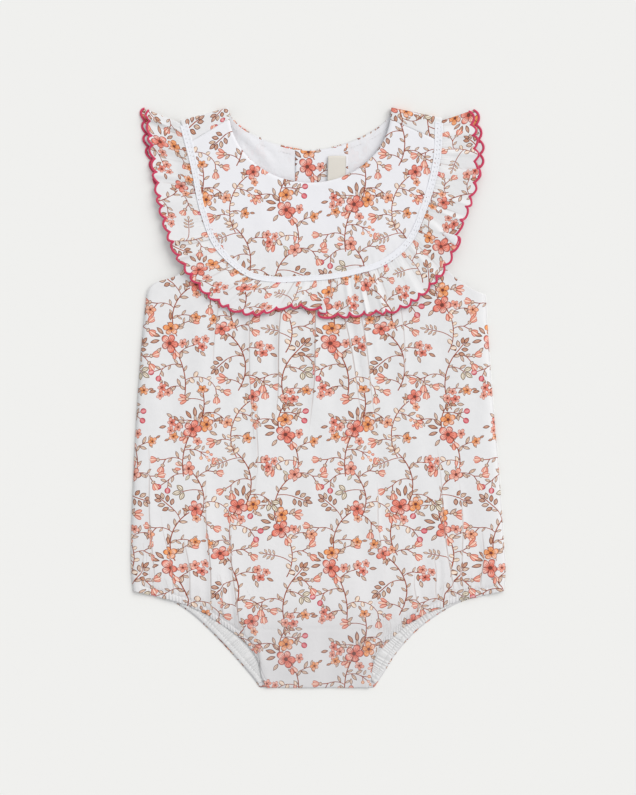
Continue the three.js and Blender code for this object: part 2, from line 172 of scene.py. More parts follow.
def front_neck(share):
    """Half an ellipse, from the left neck point to the right one, at the angle pi times the share."""
    angle = np.pi * np.asarray(share, float)
    return np.stack(
        [NECK_X - NECK_HALF_WIDTH * np.cos(angle), NECK_Y - FRONT_NECK_DROP * np.sin(angle)], -1
    )


def back_neck(share):
    """Half a superellipse of power 1.6, flatter than the front."""
    across = -np.cos(np.pi * np.asarray(share, float))
    depth = (1 - np.abs(across) ** BACK_NECK_POWER) ** (1 / BACK_NECK_POWER)
    return np.stack([NECK_X + NECK_HALF_WIDTH * across, NECK_Y - BACK_NECK_DROP * depth], -1)


def foot_edge(left_rows, right_rows):
    """The lower edge of a body panel as a function of u: a leg edge, the crotch, the other leg edge."""
    left, right = curve_through(left_rows), curve_through(right_rows)

    def edge(u):
        u = np.asarray(u, float)[:, None]
        crotch = left[-1] + (right[-1] - left[-1]) * (u - LEG_SHARE) / (1 - 2 * LEG_SHARE)
        from_left = at_length(left, np.clip(u[:, 0] / LEG_SHARE, 0, 1))
        from_right = at_length(right, np.clip((1 - u[:, 0]) / LEG_SHARE, 0, 1))
        return np.where(u < LEG_SHARE, from_left, np.where(u > 1 - LEG_SHARE, from_right, crotch))

    return edge


def top_edge(under_yoke):
    """The upper edge of a body panel as a function of u: an armhole, the yoke seam moved in under the
    yoke by `under_yoke`, and the other armhole."""
    arms = curve_through(ARMHOLE_LEFT), curve_through(ARMHOLE_RIGHT)
    shares = np.linspace(0, 1, 401)
    line = at_share(seam_line, shares)
    ends = [shares[apart(line, arm[-1]).argmin()] for arm in arms]

    def seam(share):
        """A point of the yoke seam between the armholes, moved in under the yoke."""
        s = mix(*ends, np.asarray(share))
        place = at_share(seam_line, s)
        return place + under_yoke * unit(front_neck(s) - place)

    def edge(u):
        u = np.asarray(u, float)
        made = seam((u - ARMHOLE_SHARE) / (1 - 2 * ARMHOLE_SHARE))
        for arm, way, end in ((arms[0], u, 0.0), (arms[1], 1 - u, 1.0)):
            share = np.clip(way / ARMHOLE_SHARE, 0, 1)
            to_seam = ease(share, 0.6, 1)[:, None]
            side = at_length(arm, share) * (1 - to_seam) + seam([end]) * to_seam
            made = np.where((way < ARMHOLE_SHARE)[:, None], side, made)
        return made

    return edge


def body_plan(foot, top, us, vs):
    """A Coons patch: the blend of the two sides plus the blend of the foot and the top, less the blend
    of the four corners."""
    u, v = us[None, :, None], vs[:, None, None]
    low, high = foot(us)[None], top(us)[None]
    left, right = at_length(left_side, vs)[:, None], at_length(right_side, vs)[:, None]
    ends = [(1 - u) * edge[:, :1] + u * edge[:, -1:] for edge in (low, high)]
    corners = (1 - v) * ends[0] + v * ends[1]
    return (1 - u) * left + u * right + (1 - v) * low + v * high - corners


def grid(*values):
    """Numbers that vary down a grid, across it or both ways, as a grid of vectors."""
    return np.stack(np.broadcast_arrays(*values), -1)


def lift(plan, height):
    """Plan points and a height as points in space."""
    return grid(plan[..., 0], plan[..., 1], height)


def unevenness(x, y, seed, size, waves=26, shortest=14.0, longest=60.0, upright=0.75):
    """The softness of cloth smoothed by hand: a sum of long low waves in seeded directions, of which
    `upright` run mostly up and down the garment. Its usual height is `size`."""
    draw = np.random.default_rng(seed)
    length = draw.uniform(shortest, longest, waves)
    tilt = np.where(draw.random(waves) < upright, draw.normal(0, 0.3, waves), draw.uniform(0, np.pi, waves))
    phase = draw.uniform(0, 2 * np.pi, waves)
    total = np.zeros(np.broadcast(x, y).shape)
    for one_length, one_tilt, one_phase in zip(length, tilt, phase):
        along = x * np.cos(one_tilt) + y * np.sin(one_tilt)
        total += np.sin(2 * np.pi * along / one_length + one_phase)
    return size * total / np.sqrt(waves / 2)


# The print's repeat, across and up, and the styles of its small shapes and its blooms
REPEAT = np.array([119.0, 165.0])
LEAF, PALE_LEAF, BROWN_LEAF, ROUND_LEAF, PETAL, PALE_PETAL, BERRY, GOLD_PETAL = range(8)
CORAL, PINK, GOLD, PEACH = range(4)
SPRIGS = {
    # A line row is along, aside, turn, length, width. A leaf row adds a style, and a bloom row is
    # along, aside, turn, radius, style. Leaves, petals and berries are all leaf rows.
    "posy": {
        "bloom": [(1.5, 0.5, 10, 6.8, CORAL), (8.6, -6.0, 40, 5.4, GOLD), (-3.6, -6.2, 70, 3.4, PINK)],
        "leaf": [
            (7.0, 4.2, 66, 6.6, 2.6, BROWN_LEAF), (8.6, 2.4, 34, 7.4, 2.8, BROWN_LEAF),
            (8.4, 0.0, 6, 6.6, 2.6, BROWN_LEAF), (2.6, 6.2, 100, 5.8, 2.4, LEAF),
            (12.6, -9.0, -34, 6.0, 2.4, BROWN_LEAF), (5.5, -9.6, -84, 5.8, 2.4, LEAF),
            (-4.6, 1.6, 150, 5.0, 3.4, PETAL), (-4.6, 0.6, 178, 4.8, 3.2, PALE_PETAL),
        ],
        "line": [(-3.0, 0.0, 0, 4.0, 0.8)],
    },
    "bloom": {
        "bloom": [(4.8, 0.0, 0, 5.6, CORAL), (1.6, -5.6, 30, 3.0, PEACH)],
        "leaf": [
            (0.4, 0.6, 84, 5.2, 2.3, LEAF), (0.2, 0.8, 120, 4.6, 2.0, BROWN_LEAF),
            (8.8, 3.6, 42, 4.8, 2.1, BROWN_LEAF), (9.6, -2.2, -18, 4.8, 2.1, LEAF),
        ],
    },
    "pinkbloom": {
        "bloom": [(4.4, 0.0, 24, 5.0, PINK)],
        "leaf": [
            (1.0, 1.8, 100, 5.0, 2.2, PALE_LEAF), (7.8, -3.6, -40, 4.6, 2.0, LEAF),
            (7.4, 3.6, 52, 4.4, 3.0, PETAL), (8.8, 2.4, 18, 4.2, 2.8, PALE_PETAL),
        ],
    },
    "small": {
        "bloom": [(2.6, 0.0, 30, 3.4, GOLD)],
        "leaf": [
            (0.4, 0.4, 66, 4.2, 1.9, LEAF), (0.4, -0.4, -66, 4.2, 1.9, LEAF),
            (5.0, 1.6, 20, 3.6, 1.7, BROWN_LEAF),
        ],
    },
    "peach": {
        "bloom": [(3.2, 0.0, 12, 3.9, PEACH)],
        "leaf": [(0.2, 0.5, 76, 4.2, 2.0, LEAF), (0.2, -0.5, -84, 3.8, 1.8, BROWN_LEAF)],
    },
    "cluster": {
        "bloom": [(3.0, 2.6, 12, 3.3, PINK), (5.6, -1.8, 50, 3.5, CORAL), (8.4, 2.6, 0, 2.9, PINK)],
        "leaf": [
            (0.6, 0.2, 88, 4.4, 2.0, LEAF), (1.2, -0.6, -70, 5.0, 2.2, BROWN_LEAF),
            (3.6, -4.4, -56, 5.0, 2.2, LEAF), (9.6, -1.0, -12, 5.0, 2.2, BROWN_LEAF),
        ],
        "line": [(0.0, 0.0, 10, 4.0, 0.6)],
    },
    "bells": {
        "leaf": [
            (3.4, 2.6, 66, 5.4, 2.9, PETAL), (3.2, 2.8, 26, 5.4, 2.9, PETAL),
            (3.4, 2.6, 46, 6.0, 2.5, PALE_PETAL), (2.4, 1.8, 46, 2.6, 2.8, LEAF),
            (4.4, -1.8, -46, 5.4, 2.9, PETAL), (4.4, -2.0, -6, 5.2, 2.9, PETAL),
            (4.4, -1.9, -25, 5.8, 2.5, PALE_PETAL), (3.2, -1.3, -25, 2.6, 2.8, LEAF),
        ],
        "line": [(0.0, 0.0, 36, 3.6, 0.55), (0.0, 0.0, -22, 3.8, 0.55)],
    },
    "bell": {
        "leaf": [
            (2.0, 0.6, 24, 5.6, 3.0, PETAL), (2.0, -0.6, -24, 5.6, 3.0, PETAL),
            (2.2, 0.0, 0, 6.2, 2.6, PALE_PETAL), (0.8, 0.0, 0, 2.8, 2.8, LEAF),
        ],
        "line": [(0.0, 0.0, 0, 2.0, 0.55)],
    },
    "berries": {
        "leaf": [
            (4.2, 2.6, 30, 3.9, 3.9, BERRY), (5.4, -1.8, -20, 3.9, 3.9, BERRY),
            (1.4, 0.2, 74, 4.6, 2.0, LEAF), (1.2, -0.2, -70, 4.4, 2.0, LEAF),
        ],
        "line": [(0.0, 0.0, 30, 4.8, 0.5), (0.0, 0.0, -18, 5.4, 0.5)],
    },
    "spray": {
        "leaf": [
            (1.0, 0.9, 66, 4.8, 2.9, BROWN_LEAF), (1.0, -0.9, -66, 4.8, 2.9, BROWN_LEAF),
            (4.0, 0.9, 50, 5.0, 2.9, LEAF), (4.0, -0.9, -52, 5.0, 2.9, BROWN_LEAF),
            (7.0, 0.7, 30, 4.8, 2.7, BROWN_LEAF), (7.0, -0.7, -34, 4.8, 2.7, LEAF),
            (8.2, 0.0, 0, 5.2, 2.7, BROWN_LEAF),
        ],
        "line": [(0.0, 0.0, 0, 8.4, 0.6)],
    },
    "trio": {
        "leaf": [
            (1.6, 0.4, 52, 5.8, 3.4, PALE_LEAF), (2.8, 0.0, -2, 6.2, 3.4, PALE_LEAF),
            (1.6, -0.4, -56, 5.6, 3.4, PALE_LEAF),
        ],
        "line": [(0.0, 0.0, 0, 3.0, 0.55)],
    },
    "fern": {
        "leaf": [
            (1.4, 0.3, 58, 3.8, 1.6, LEAF), (1.4, -0.3, -58, 3.8, 1.6, LEAF),
            (3.8, 0.3, 54, 4.0, 1.6, LEAF), (3.8, -0.3, -54, 4.0, 1.6, LEAF),
            (6.2, 0.3, 46, 3.6, 1.5, LEAF), (6.2, -0.3, -46, 3.6, 1.5, LEAF),
            (8.0, 0.0, 0, 3.8, 1.6, LEAF),
        ],
        "line": [(0.0, 0.0, 0, 8.2, 0.5)],
    },
    "dots": {
        "leaf": [
            (3.2, 1.7, 30, 2.3, 2.3, GOLD_PETAL), (4.2, -0.8, 0, 2.3, 2.3, PALE_PETAL),
            (2.0, -2.2, -60, 2.3, 2.3, GOLD_PETAL), (5.8, 1.6, 20, 2.3, 2.3, PETAL),
            (0.6, 1.2, 96, 3.8, 1.7, LEAF), (6.6, -1.6, -10, 2.1, 2.1, GOLD_PETAL),
        ],
        "line": [(0.0, 0.0, 24, 5.6, 0.5), (0.0, 0.0, -8, 4.4, 0.5), (0.6, 0.0, -56, 2.4, 0.5)],
    },
}
STEMS = [
    # x, y, heading, length, bend, leaves along it, sprig at its end
    (20, -2, 78, 44, 50, "leaf", "posy"),
    (14, 46, 118, 40, -86, "leaf", "bloom"),
    (31, 78, 62, 34, 70, "leaf", "pinkbloom"),
    (20, 108, 100, 34, -40, "leaf", "posy"),
    (29, 140, 60, 30, 40, "leaf", "small"),
    (59, 6, 60, 46, 80, "leaf", "bloom"),
    (58, 50, 122, 36, -70, "leaf", "posy"),
    (64, 84, 56, 44, 82, "leaf", "fern"),
    (58, 122, 120, 46, -84, "round", "bloom"),
    (98, -8, 120, 44, -70, "leaf", "spray"),
    (96, 34, 60, 36, 70, "round", "posy"),
    (90, 70, 118, 40, -80, "leaf", "pinkbloom"),
    (101, 104, 62, 36, 70, "leaf", "posy"),
    (92, 138, 112, 24, -60, "leaf", "cluster"),
]
TWIGS = [
    # stem it leaves, share of that stem's length, turn to the side, length, bend, leaves, sprig
    (0, 0.22, 62, 11, 50, "leaf", "cluster"),
    (0, 0.35, -62, 26, -96, "round", "bells"),
    (0, 0.62, 58, 15, 50, "leaf", "berries"),
    (0, 0.80, -66, 13, -40, "leaf", "cluster"),
    (1, 0.10, -54, 12, -40, "leaf", "bell"),
    (1, 0.34, -58, 15, -50, "leaf", "small"),
    (1, 0.53, 62, 13, 60, "leaf", "bells"),
    (1, 0.80, 60, 11, 30, "leaf", "spray"),
    (2, 0.04, -84, 9, -50, "leaf", "bells"),
    (2, 0.30, -56, 22, -88, "round", "bell"),
    (2, 0.58, 62, 12, 30, None, "trio"),
    (2, 0.88, -70, 10, -40, "leaf", "bells"),
    (3, 0.05, 76, 12, 60, "leaf", "berries"),
    (3, 0.34, 60, 13, 60, "leaf", "bells"),
    (3, 0.56, -58, 12, -50, "leaf", "dots"),
    (3, 0.78, 70, 8, 40, "leaf", "small"),
    (4, 0.20, 66, 15, 70, "leaf", "cluster"),
    (4, 0.50, -60, 16, -70, "leaf", "peach"),
    (4, 0.80, 62, 10, 30, None, "bell"),
    (5, 0.10, 66, 9, 40, "leaf", "bell"),
    (5, 0.24, -58, 18, -80, "leaf", "bells"),
    (5, 0.56, 58, 13, 60, "leaf", "spray"),
    (5, 0.64, -66, 11, -60, "leaf", "cluster"),
    (6, 0.06, -80, 9, -50, "leaf", "bells"),
    (6, 0.30, 58, 12, 50, "leaf", "small"),
    (6, 0.60, -58, 16, -60, "round", "berries"),
    (7, 0.25, -58, 16, -70, "leaf", "trio"),
    (7, 0.50, 58, 16, 80, "leaf", "bells"),
    (7, 0.72, -66, 12, -60, "leaf", "cluster"),
    (7, 0.92, 50, 9, 20, None, "fern"),
    (8, 0.28, 62, 9, 40, "leaf", "bell"),
    (8, 0.34, -66, 9, -50, "leaf", "small"),
    (8, 0.50, 60, 12, 40, None, "dots"),
    (8, 0.74, -60, 12, -40, "leaf", "bell"),
    (9, 0.30, -58, 14, -60, "leaf", "small"),
    (9, 0.55, 58, 16, 80, "leaf", "bells"),
    (9, 0.74, -62, 10, -40, "leaf", "trio"),
    (9, 0.98, -50, 9, -30, "leaf", "bells"),
    (10, 0.30, 58, 12, 30, None, "fern"),
    (10, 0.50, -62, 8, -40, "leaf", "bells"),
    (10, 0.78, -58, 15, -70, "leaf", "peach"),
    (11, 0.18, -60, 12, -50, "leaf", "bell"),
    (11, 0.38, 60, 14, 60, "leaf", "berries"),
    (11, 0.62, -58, 12, -30, None, "spray"),
    (12, 0.18, -60, 12, -50, "leaf", "bells"),
    (12, 0.40, 58, 18, 80, "round", "bell"),
    (12, 0.66, -58, 12, -40, "leaf", "small"),
    (13, 0.40, 58, 14, 50, "leaf", "dots"),
    (13, 0.70, -58, 10, -30, "leaf", "berries"),
]
# Leaves along a stem: pitch, length, width, style, turn
LEAF_ROWS = {"leaf": (4.6, 5.6, 2.2, LEAF, 46), "round": (4.3, 4.0, 3.1, ROUND_LEAF, 60)}
STEM_WIDTH, TWIG_WIDTH, STEM_STEP, SPRIG_SCALE = 0.72, 0.52, 2.4, 1.14
PRINT_LAYERS = {"line": 3, "leaf": 4, "bloom": 2}  # how many shapes of a kind may meet in one face
FACES_AT_ONCE = 3000  # whose nearest shapes are looked for together


def print_chart():
    """The repeat as rows of shapes. A stem is walked in short steps while its heading turns evenly, its
    leaves stand on it turn about, and its sprig is turned and moved to its end."""
    chart = {"line": [], "leaf": [], "bloom": []}

    def walk(x, y, heading, length, bend, width, leaves, sprig):
        """Adds one stem or twig to the chart, and gives its path for the twigs that leave it."""
        share = np.linspace(0, 1, int(round(length / STEM_STEP)) + 1)
        angle = heading + bend * share
        middle = np.radians((angle[1:] + angle[:-1]) / 2)
        step = length / len(middle)
        xs = x + step * np.concatenate([[0], np.cumsum(np.cos(middle))])
        ys = y + step * np.concatenate([[0], np.cumsum(np.sin(middle))])
        for start_x, start_y, turned in zip(xs, ys, np.degrees(middle)):
            chart["line"].append((start_x, start_y, turned, step, width))
        if leaves:
            pitch, size, breadth, style, turn = LEAF_ROWS[leaves]
            for count, reach in enumerate(np.arange(3.0, length - 1, pitch) / length):
                reach += 0.9 * np.sin(2.7 * count + y) / length
                side = 1 if count % 2 else -1
                scale = 1 + 0.18 * np.sin(5.3 * count + x)
                turned = np.interp(reach, share, angle) + side * (turn + 9 * np.sin(3.1 * count + y))
                place = np.interp(reach, share, xs), np.interp(reach, share, ys)
                chart["leaf"].append((*place, turned, size * scale, breadth * scale, style))
        cosine, sine = np.cos(np.radians(angle[-1])), np.sin(np.radians(angle[-1]))
        for kind, rows in SPRIGS.get(sprig, {}).items():
            sizes = 1 if kind == "bloom" else 2
            for along, aside, turn, *rest in rows:
                along, aside = SPRIG_SCALE * along, SPRIG_SCALE * aside
                rest = [SPRIG_SCALE * size for size in rest[:sizes]] + rest[sizes:]
                place = xs[-1] + cosine * along - sine * aside, ys[-1] + sine * along + cosine * aside
                chart[kind].append((*place, angle[-1] + turn, *rest))
        return share, xs, ys, angle

    stems = [walk(*row[:5], STEM_WIDTH, *row[5:]) for row in STEMS]
    for parent, at, turn, length, bend, leaves, sprig in TWIGS:
        share, xs, ys, angle = stems[parent]
        place = [np.interp(at, share, values) for values in (xs, ys, angle)]
        walk(place[0], place[1], place[2] + turn, length, bend, TWIG_WIDTH, leaves, sprig)
    return {kind: np.array(rows, float) for kind, rows in chart.items()}


PRINT = print_chart()


def lay_print(mesh, cells, centres, corners):
    """Gives each face corner its place in the shapes of the print that lie nearest to its face. A face
    of cell i has its middle at centres[i] on the flat cloth. Along and aside are shares of the
    shape's own length and half width, and the third number is its style with its tone as a fraction."""
    for kind, rows in PRINT.items():
        x, y, heading, length = rows[:, :4].T
        cosine, sine = np.cos(np.radians(heading)), np.sin(np.radians(heading))
        round_shape = kind == "bloom"
        half = length if round_shape else rows[:, 4] / 2
        layers = PRINT_LAYERS[kind]
        near = []
        for some in np.array_split(centres, max(1, len(centres) // FACES_AT_ONCE)):
            dx = some[:, :1] - x
            dy = some[:, 1:] - y
            dx -= REPEAT[0] * np.round(dx / REPEAT[0])
            dy -= REPEAT[1] * np.round(dy / REPEAT[1])
            along = 0.0 if round_shape else np.clip(dx * cosine + dy * sine, 0, length)
            gap = np.hypot(dx - along * cosine, dy - along * sine) - half
            near.append(np.sort(np.argpartition(gap, layers, axis=1)[:, :layers], axis=1))
        near = np.concatenate(near)[cells]
        tone = (np.arange(len(rows)) * 0.618) % 1 * 0.8 + 0.1
        style = (rows[:, -1] if kind != "line" else 0 * x) + tone
        for layer in range(layers):
            shape = near[:, layer]
            origin = rows[shape, :2]
            moved = REPEAT * np.round((centres[cells] - origin) / REPEAT)
            offset = corners - (origin + moved)[:, None]
            c, s = cosine[shape][:, None], sine[shape][:, None]
            along = (offset[..., 0] * c + offset[..., 1] * s) / length[shape][:, None]
            aside = (offset[..., 1] * c - offset[..., 0] * s) / half[shape][:, None]
            values = grid(along, aside, style[shape][:, None])
            places = mesh.attributes.new(f"{kind}_{layer}", "FLOAT_VECTOR", "CORNER")
            places.data.foreach_set("vector", values.astype(np.float32).ravel())


def grid_normals(points):
    """Unit normals of a grid: the cross product of its slopes across and up."""
    return unit(np.cross(np.gradient(points, axis=1), np.gradient(points, axis=0)))


def grid_quads(rows, columns):
    """The corners of each cell of a grid."""
    index = np.arange(rows * columns).reshape(rows, columns)
    return np.stack([index[:-1, :-1], index[:-1, 1:], index[1:, 1:], index[1:, :-1]], -1)


def add_object(name, data):
    """Adds an object of a mesh, a light or a camera to the scene."""
    made = bpy.data.objects.new(name, data)
    bpy.context.scene.collection.objects.link(made)
    return made


def add_piece(name, points, faces, flat, material):
    """Adds a smooth mesh that rides the part's one body. `flat` has the place of each face corner on
    the flat cloth, which the materials read in centimetres."""
    mesh = bpy.data.meshes.new(name)
    mesh.from_pydata(points.reshape(-1, 3) * MM, [], faces)
    mesh.shade_smooth()
    mesh.uv_layers.new(name="cloth").data.foreach_set("uv", (flat / 10).astype(np.float32).ravel())
    mesh.materials.append(material)
    made = add_object(name, mesh)
    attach(made, "root")
    return made


def cloth_wall(name, face, flat, material, thickness=CLOTH, printed=True, turned=0, below=False, **fields):
    """A closed wall on a grid: its face, the same grid moved back by the thickness, and a rim round
    both. `flat` gives each point's place on the flat cloth, and `turned` is how many rows show the
    right side on the back too. A wall with `below` has its face downwards. Each field is a point
    attribute: `hem` has the place along and from a gathered edge with its depth, and `crease` the
    distance from a pressed line with that line's strength."""
    if (grid_normals(face[:2, :2])[0, 0, 2] < 0) != below:
        face, flat = face[:, ::-1], flat[:, ::-1]
        fields = {title: values[:, ::-1] for title, values in fields.items()}
    rows, columns = face.shape[:2]
    back = face - thickness * grid_normals(face)
    back[..., 2] = np.maximum(back[..., 2], FLOOR_GAP)
    index = np.arange(rows * columns).reshape(rows, columns)
    cell = np.arange((rows - 1) * (columns - 1)).reshape(rows - 1, columns - 1)
    quads = grid_quads(rows, columns).reshape(-1, 4)
    ring = np.concatenate([index[0], index[1:, -1], index[-1, -2::-1], index[-2:0:-1, 0]])
    ring_cell = np.concatenate([cell[0], cell[:, -1], cell[-1, ::-1], cell[::-1, 0]])
    front_rim = np.stack([np.roll(ring, -1), ring], -1)
    rim = np.concatenate([front_rim, front_rim[:, ::-1] + index.size], -1)
    faces = np.concatenate([quads, quads[:, ::-1] + index.size, rim])
    cells = np.concatenate([cell.ravel(), cell.ravel(), ring_cell])
    inside = np.zeros(len(faces), np.float32)
    inside[cell.size:2 * cell.size] = np.repeat(np.arange(rows - 1) >= turned, columns - 1)

    corners = np.concatenate([flat.reshape(-1, 2)] * 2)[faces]
    made = add_piece(name, np.concatenate([face, back]), faces, corners, material)
    attributes = made.data.attributes
    attributes.new("inside", "FLOAT", "FACE").data.foreach_set("value", inside)
    for title, values in fields.items():
        both = np.concatenate([values, values]).astype(np.float32)
        attributes.new(title, "FLOAT_VECTOR", "POINT").data.foreach_set("vector", both.ravel())
    if printed:
        centres = (flat[:-1, :-1] + flat[1:, :-1] + flat[:-1, 1:] + flat[1:, 1:]).reshape(-1, 2) / 4
        lay_print(made.data, cells, centres, corners)
    return made


class Value:
    """A number in a shader, so that a formula is written as it reads: each sign adds a Math node."""

    def __init__(self, tree, socket):
        self.tree, self.socket = tree, socket

    def math(self, operation, *others, first=None):
        """Adds a Math node for this number and others, or for a first number and this one."""
        made = self.tree.nodes.new("ShaderNodeMath")
        made.operation = operation
        for socket, value in zip(made.inputs, (self, *others) if first is None else (first, self)):
            connect(self.tree, value, socket)
        return Value(self.tree, made.outputs[0])

    def __rsub__(self, other):
        return self.math("SUBTRACT", first=other)

    __add__ = __radd__ = partialmethod(math, "ADD")
    __mul__ = __rmul__ = partialmethod(math, "MULTIPLY")
    __sub__ = partialmethod(math, "SUBTRACT")
    __truediv__ = partialmethod(math, "DIVIDE")
    __pow__ = partialmethod(math, "POWER")
    __gt__ = partialmethod(math, "GREATER_THAN")
    __lt__ = partialmethod(math, "LESS_THAN")
    absolute = partialmethod(math, "ABSOLUTE")
    sine = partialmethod(math, "SINE")

    def within(self):
        """The number held between 0 and 1."""
        return self.math("MAXIMUM", 0.0).math("MINIMUM", 1.0)


def linear(red, green, blue):
    """A colour as its eye-level 0 to 255 values, turned to the shader's linear ones."""
    share = np.array([red, green, blue]) / 255
    return (*np.where(share < 0.04045, share / 12.92, ((share + 0.055) / 1.055) ** 2.4), 1.0)


def linear_pair(pair):
    """Two eye-level colours, turned to linear ones."""
    return [linear(*colour) for colour in pair]


def connect(tree, value, socket):
    """Links a value or an output to an input, or else gives the input that value."""
    if isinstance(value, (Value, bpy.types.NodeSocket)):
        tree.links.new(value.socket if isinstance(value, Value) else value, socket)
    else:
        socket.default_value = value


def node(tree, kind, **settings):
    """Adds a node. A setting that names an input gives it a value or a link, and any other is the
    node's own."""
    made = tree.nodes.new(kind)
    for name, value in settings.items():
        socket = made.inputs.get(name.replace("_", " "))
        if socket is None:
            setattr(made, name, value)
        else:
            connect(tree, value, socket)
    return made


def blend(tree, share, first, second):
    """Mixes two colours, each a value or a link."""
    made = node(tree, "ShaderNodeMix", data_type="RGBA")
    for index, value in ((0, share), (6, first), (7, second)):
        connect(tree, value, made.inputs[index])
    return made.outputs[2]


def steps_of(tree, number, colours):
    """The colour of a whole number, from a list of them."""
    ramp = node(tree, "ShaderNodeValToRGB", Fac=(number + 0.5) / len(colours))
    ramp.color_ramp.interpolation = "CONSTANT"
    stops = ramp.color_ramp.elements
    for index, colour in enumerate(colours):
        stop = stops[index] if index < 1 else stops.new(index / len(colours))
        stop.color = linear(*colour)
    stops.remove(stops[-1])
    return ramp.outputs[0]


def start_group(name, inputs, outputs):
    """An empty shader group with named float, vector or colour sockets."""
    tree = bpy.data.node_groups.new(name, "ShaderNodeTree")
    for way, sockets in (("INPUT", inputs), ("OUTPUT", outputs)):
        for socket, kind in sockets.items():
            tree.interface.new_socket(socket, in_out=way, socket_type="NodeSocket" + kind)
    return tree, tree.nodes.new("NodeGroupInput"), tree.nodes.new("NodeGroupOutput")


def parts_of(tree, vector):
    """The three numbers of a vector."""
    return [Value(tree, socket) for socket in node(tree, "ShaderNodeSeparateXYZ", Vector=vector).outputs]


def noise(tree, place, scale, detail):
    """Cloudy noise about 0.5."""
    made = node(tree, "ShaderNodeTexNoise", Vector=place, Scale=scale, Detail=detail)
    return Value(tree, made.outputs[0])


def place_parts(tree, place):
    """The along, aside, style and tone of a printed shape's place."""
    along, aside, mark = parts_of(tree, place)
    style = mark.math("FLOOR")
    return along, aside, style, mark - style


def start_shape(name):
    """A shader group for a kind of printed shape, with the along, aside, style and tone of its place."""
    tree, start, end = start_group(name, {"Place": "Vector"}, {"Colour": "Color", "Cover": "Float"})
    return tree, end, place_parts(tree, start.outputs["Place"])


def finish_group(tree, end, **values):
    """Gives a group's outputs their values."""
    for name, value in values.items():
        connect(tree, value, end.inputs[name])
    return tree


def leaf_group():
    """Almonds and rounds: a point is inside where |aside| is under 4a(1 - a) to the power 1, or 1/2 for
    the round styles, and petals flare towards their tips. A dark line follows the edge, a vein the
    middle of a leaf, and one side is shaded."""
    tree, end, (along, aside, style, tone) = start_shape("printed_leaf")
    is_round = style > ROUND_LEAF - 0.5
    swell = (4 * along * (1 - along)).within()
    flare = 1 - (style > PETAL - 0.5) * (style < PALE_PETAL + 0.5) * (0.55 - 0.62 * along)
    reach = swell ** (1 - 0.5 * is_round) * flare - aside.absolute()
    cover = (reach * 9).within()
    line = 1 - ((reach - 0.31 + 0.10 * is_round) * 6).within()
    vein = (aside.absolute() < 0.13) * (along < 0.8) * (1 - is_round) * 0.7
    fill = steps_of(tree, style, [
        (246, 210, 180), (243, 233, 208), (216, 142, 96), (248, 220, 192),
        (243, 150, 122), (252, 204, 182), (226, 82, 98), (246, 166, 104),
    ])
    edge = steps_of(tree, style, [
        (100, 36, 8), (120, 90, 54), (92, 32, 6), (106, 42, 12),
        (172, 64, 42), (190, 86, 60), (158, 26, 44), (170, 80, 40),
    ])
    pale = (reach * 1.4 - 0.35).within() * (0.2 + 0.5 * tone)
    colour = blend(tree, pale, fill, linear(252, 240, 234))
    colour = blend(tree, (aside > 0.08) * 0.16, colour, edge)
    colour = blend(tree, line.math("MAXIMUM", vein), colour, edge)
    return finish_group(tree, end, Colour=colour, Cover=cover)


def bloom_group():
    """A bloom of five petals: its edge lies at 0.6 + 0.4 |cos(2.5 angle)|^0.7 of its radius. Lines part
    the petals, the heart is dark with stamens round it, and half of the petals are paler."""
    tree, end, (across, up, style, tone) = start_shape("printed_bloom")
    radius = (across * across + up * up).math("SQRT")
    angle = up.math("ARCTAN2", across)
    lobe = (2.5 * angle + 1.5708).sine().absolute()
    lopsided = 0.92 + 0.10 * (2 * angle + 23 * tone).sine()
    reach = (0.6 + 0.4 * lobe**0.7) * lopsided - radius
    cover = (reach * 14).within()
    rim = 1 - ((reach - 0.075) * 10).within()
    parting = (lobe < 0.30 - 0.18 * radius) * (radius > 0.2)
    streak = ((19 * angle + 9 * tone).sine() > 0.45) * (radius > 0.2) * (radius < 0.58)
    heart = radius < 0.19
    pale_side = (0.5 + 0.8 * (angle + 9 * tone).sine()).within()
    pale = (1 - ((radius - 0.55) * 3.2).absolute()).within() * (0.2 + 0.6 * pale_side)
    fill = steps_of(tree, style, [(238, 120, 96), (246, 160, 136), (248, 156, 76), (250, 172, 130)])
    edge = steps_of(tree, style, [(144, 44, 32), (158, 60, 44), (150, 62, 28), (160, 72, 46)])
    colour = blend(tree, pale, fill, linear(253, 222, 210))
    colour = blend(tree, rim.math("MAXIMUM", parting).math("MAXIMUM", streak * 0.7), colour, edge)
    colour = blend(tree, heart, colour, linear(116, 50, 38))
    return finish_group(tree, end, Colour=colour, Cover=cover)


def weave_group():
    """Plain weave: threads across and up pass over and under each other turn about. Height is the
    upper thread's round, and Gaps is 1 in the holes between threads."""
    tree, start, end = start_group(
        "plain_weave", {"Cloth": "Vector", "Threads": "Float"}, {"Height": "Float", "Gaps": "Float"}
    )
    threads = Value(tree, start.outputs["Threads"])
    across, up, _ = parts_of(tree, start.outputs["Cloth"])
    warp, weft = (across * threads * np.pi).sine(), (up * threads * np.pi).sine()
    over = (warp * weft) > 0
    height = over * warp.absolute() + (1 - over) * weft.absolute()
    return finish_group(tree, end, Height=height, Gaps=(1 - warp.absolute()) * (1 - weft.absolute()))


LEAF_SHAPE, BLOOM_SHAPE, WEAVE = leaf_group(), bloom_group(), weave_group()


def start_material(name, roughness, sheen, specular=0.14):
    """A matt material with a Principled BSDF, which `sheen` gives the nap of cotton."""
    material = bpy.data.materials.new(name)
    material.use_nodes = True
    shader = material.node_tree.nodes["Principled BSDF"]
    shader.inputs["Roughness"].default_value = roughness
    shader.inputs["Sheen Weight"].default_value = sheen
    shader.inputs["Sheen Roughness"].default_value = 0.6
    shader.inputs["Specular IOR Level"].default_value = specular
    return material, material.node_tree, shader


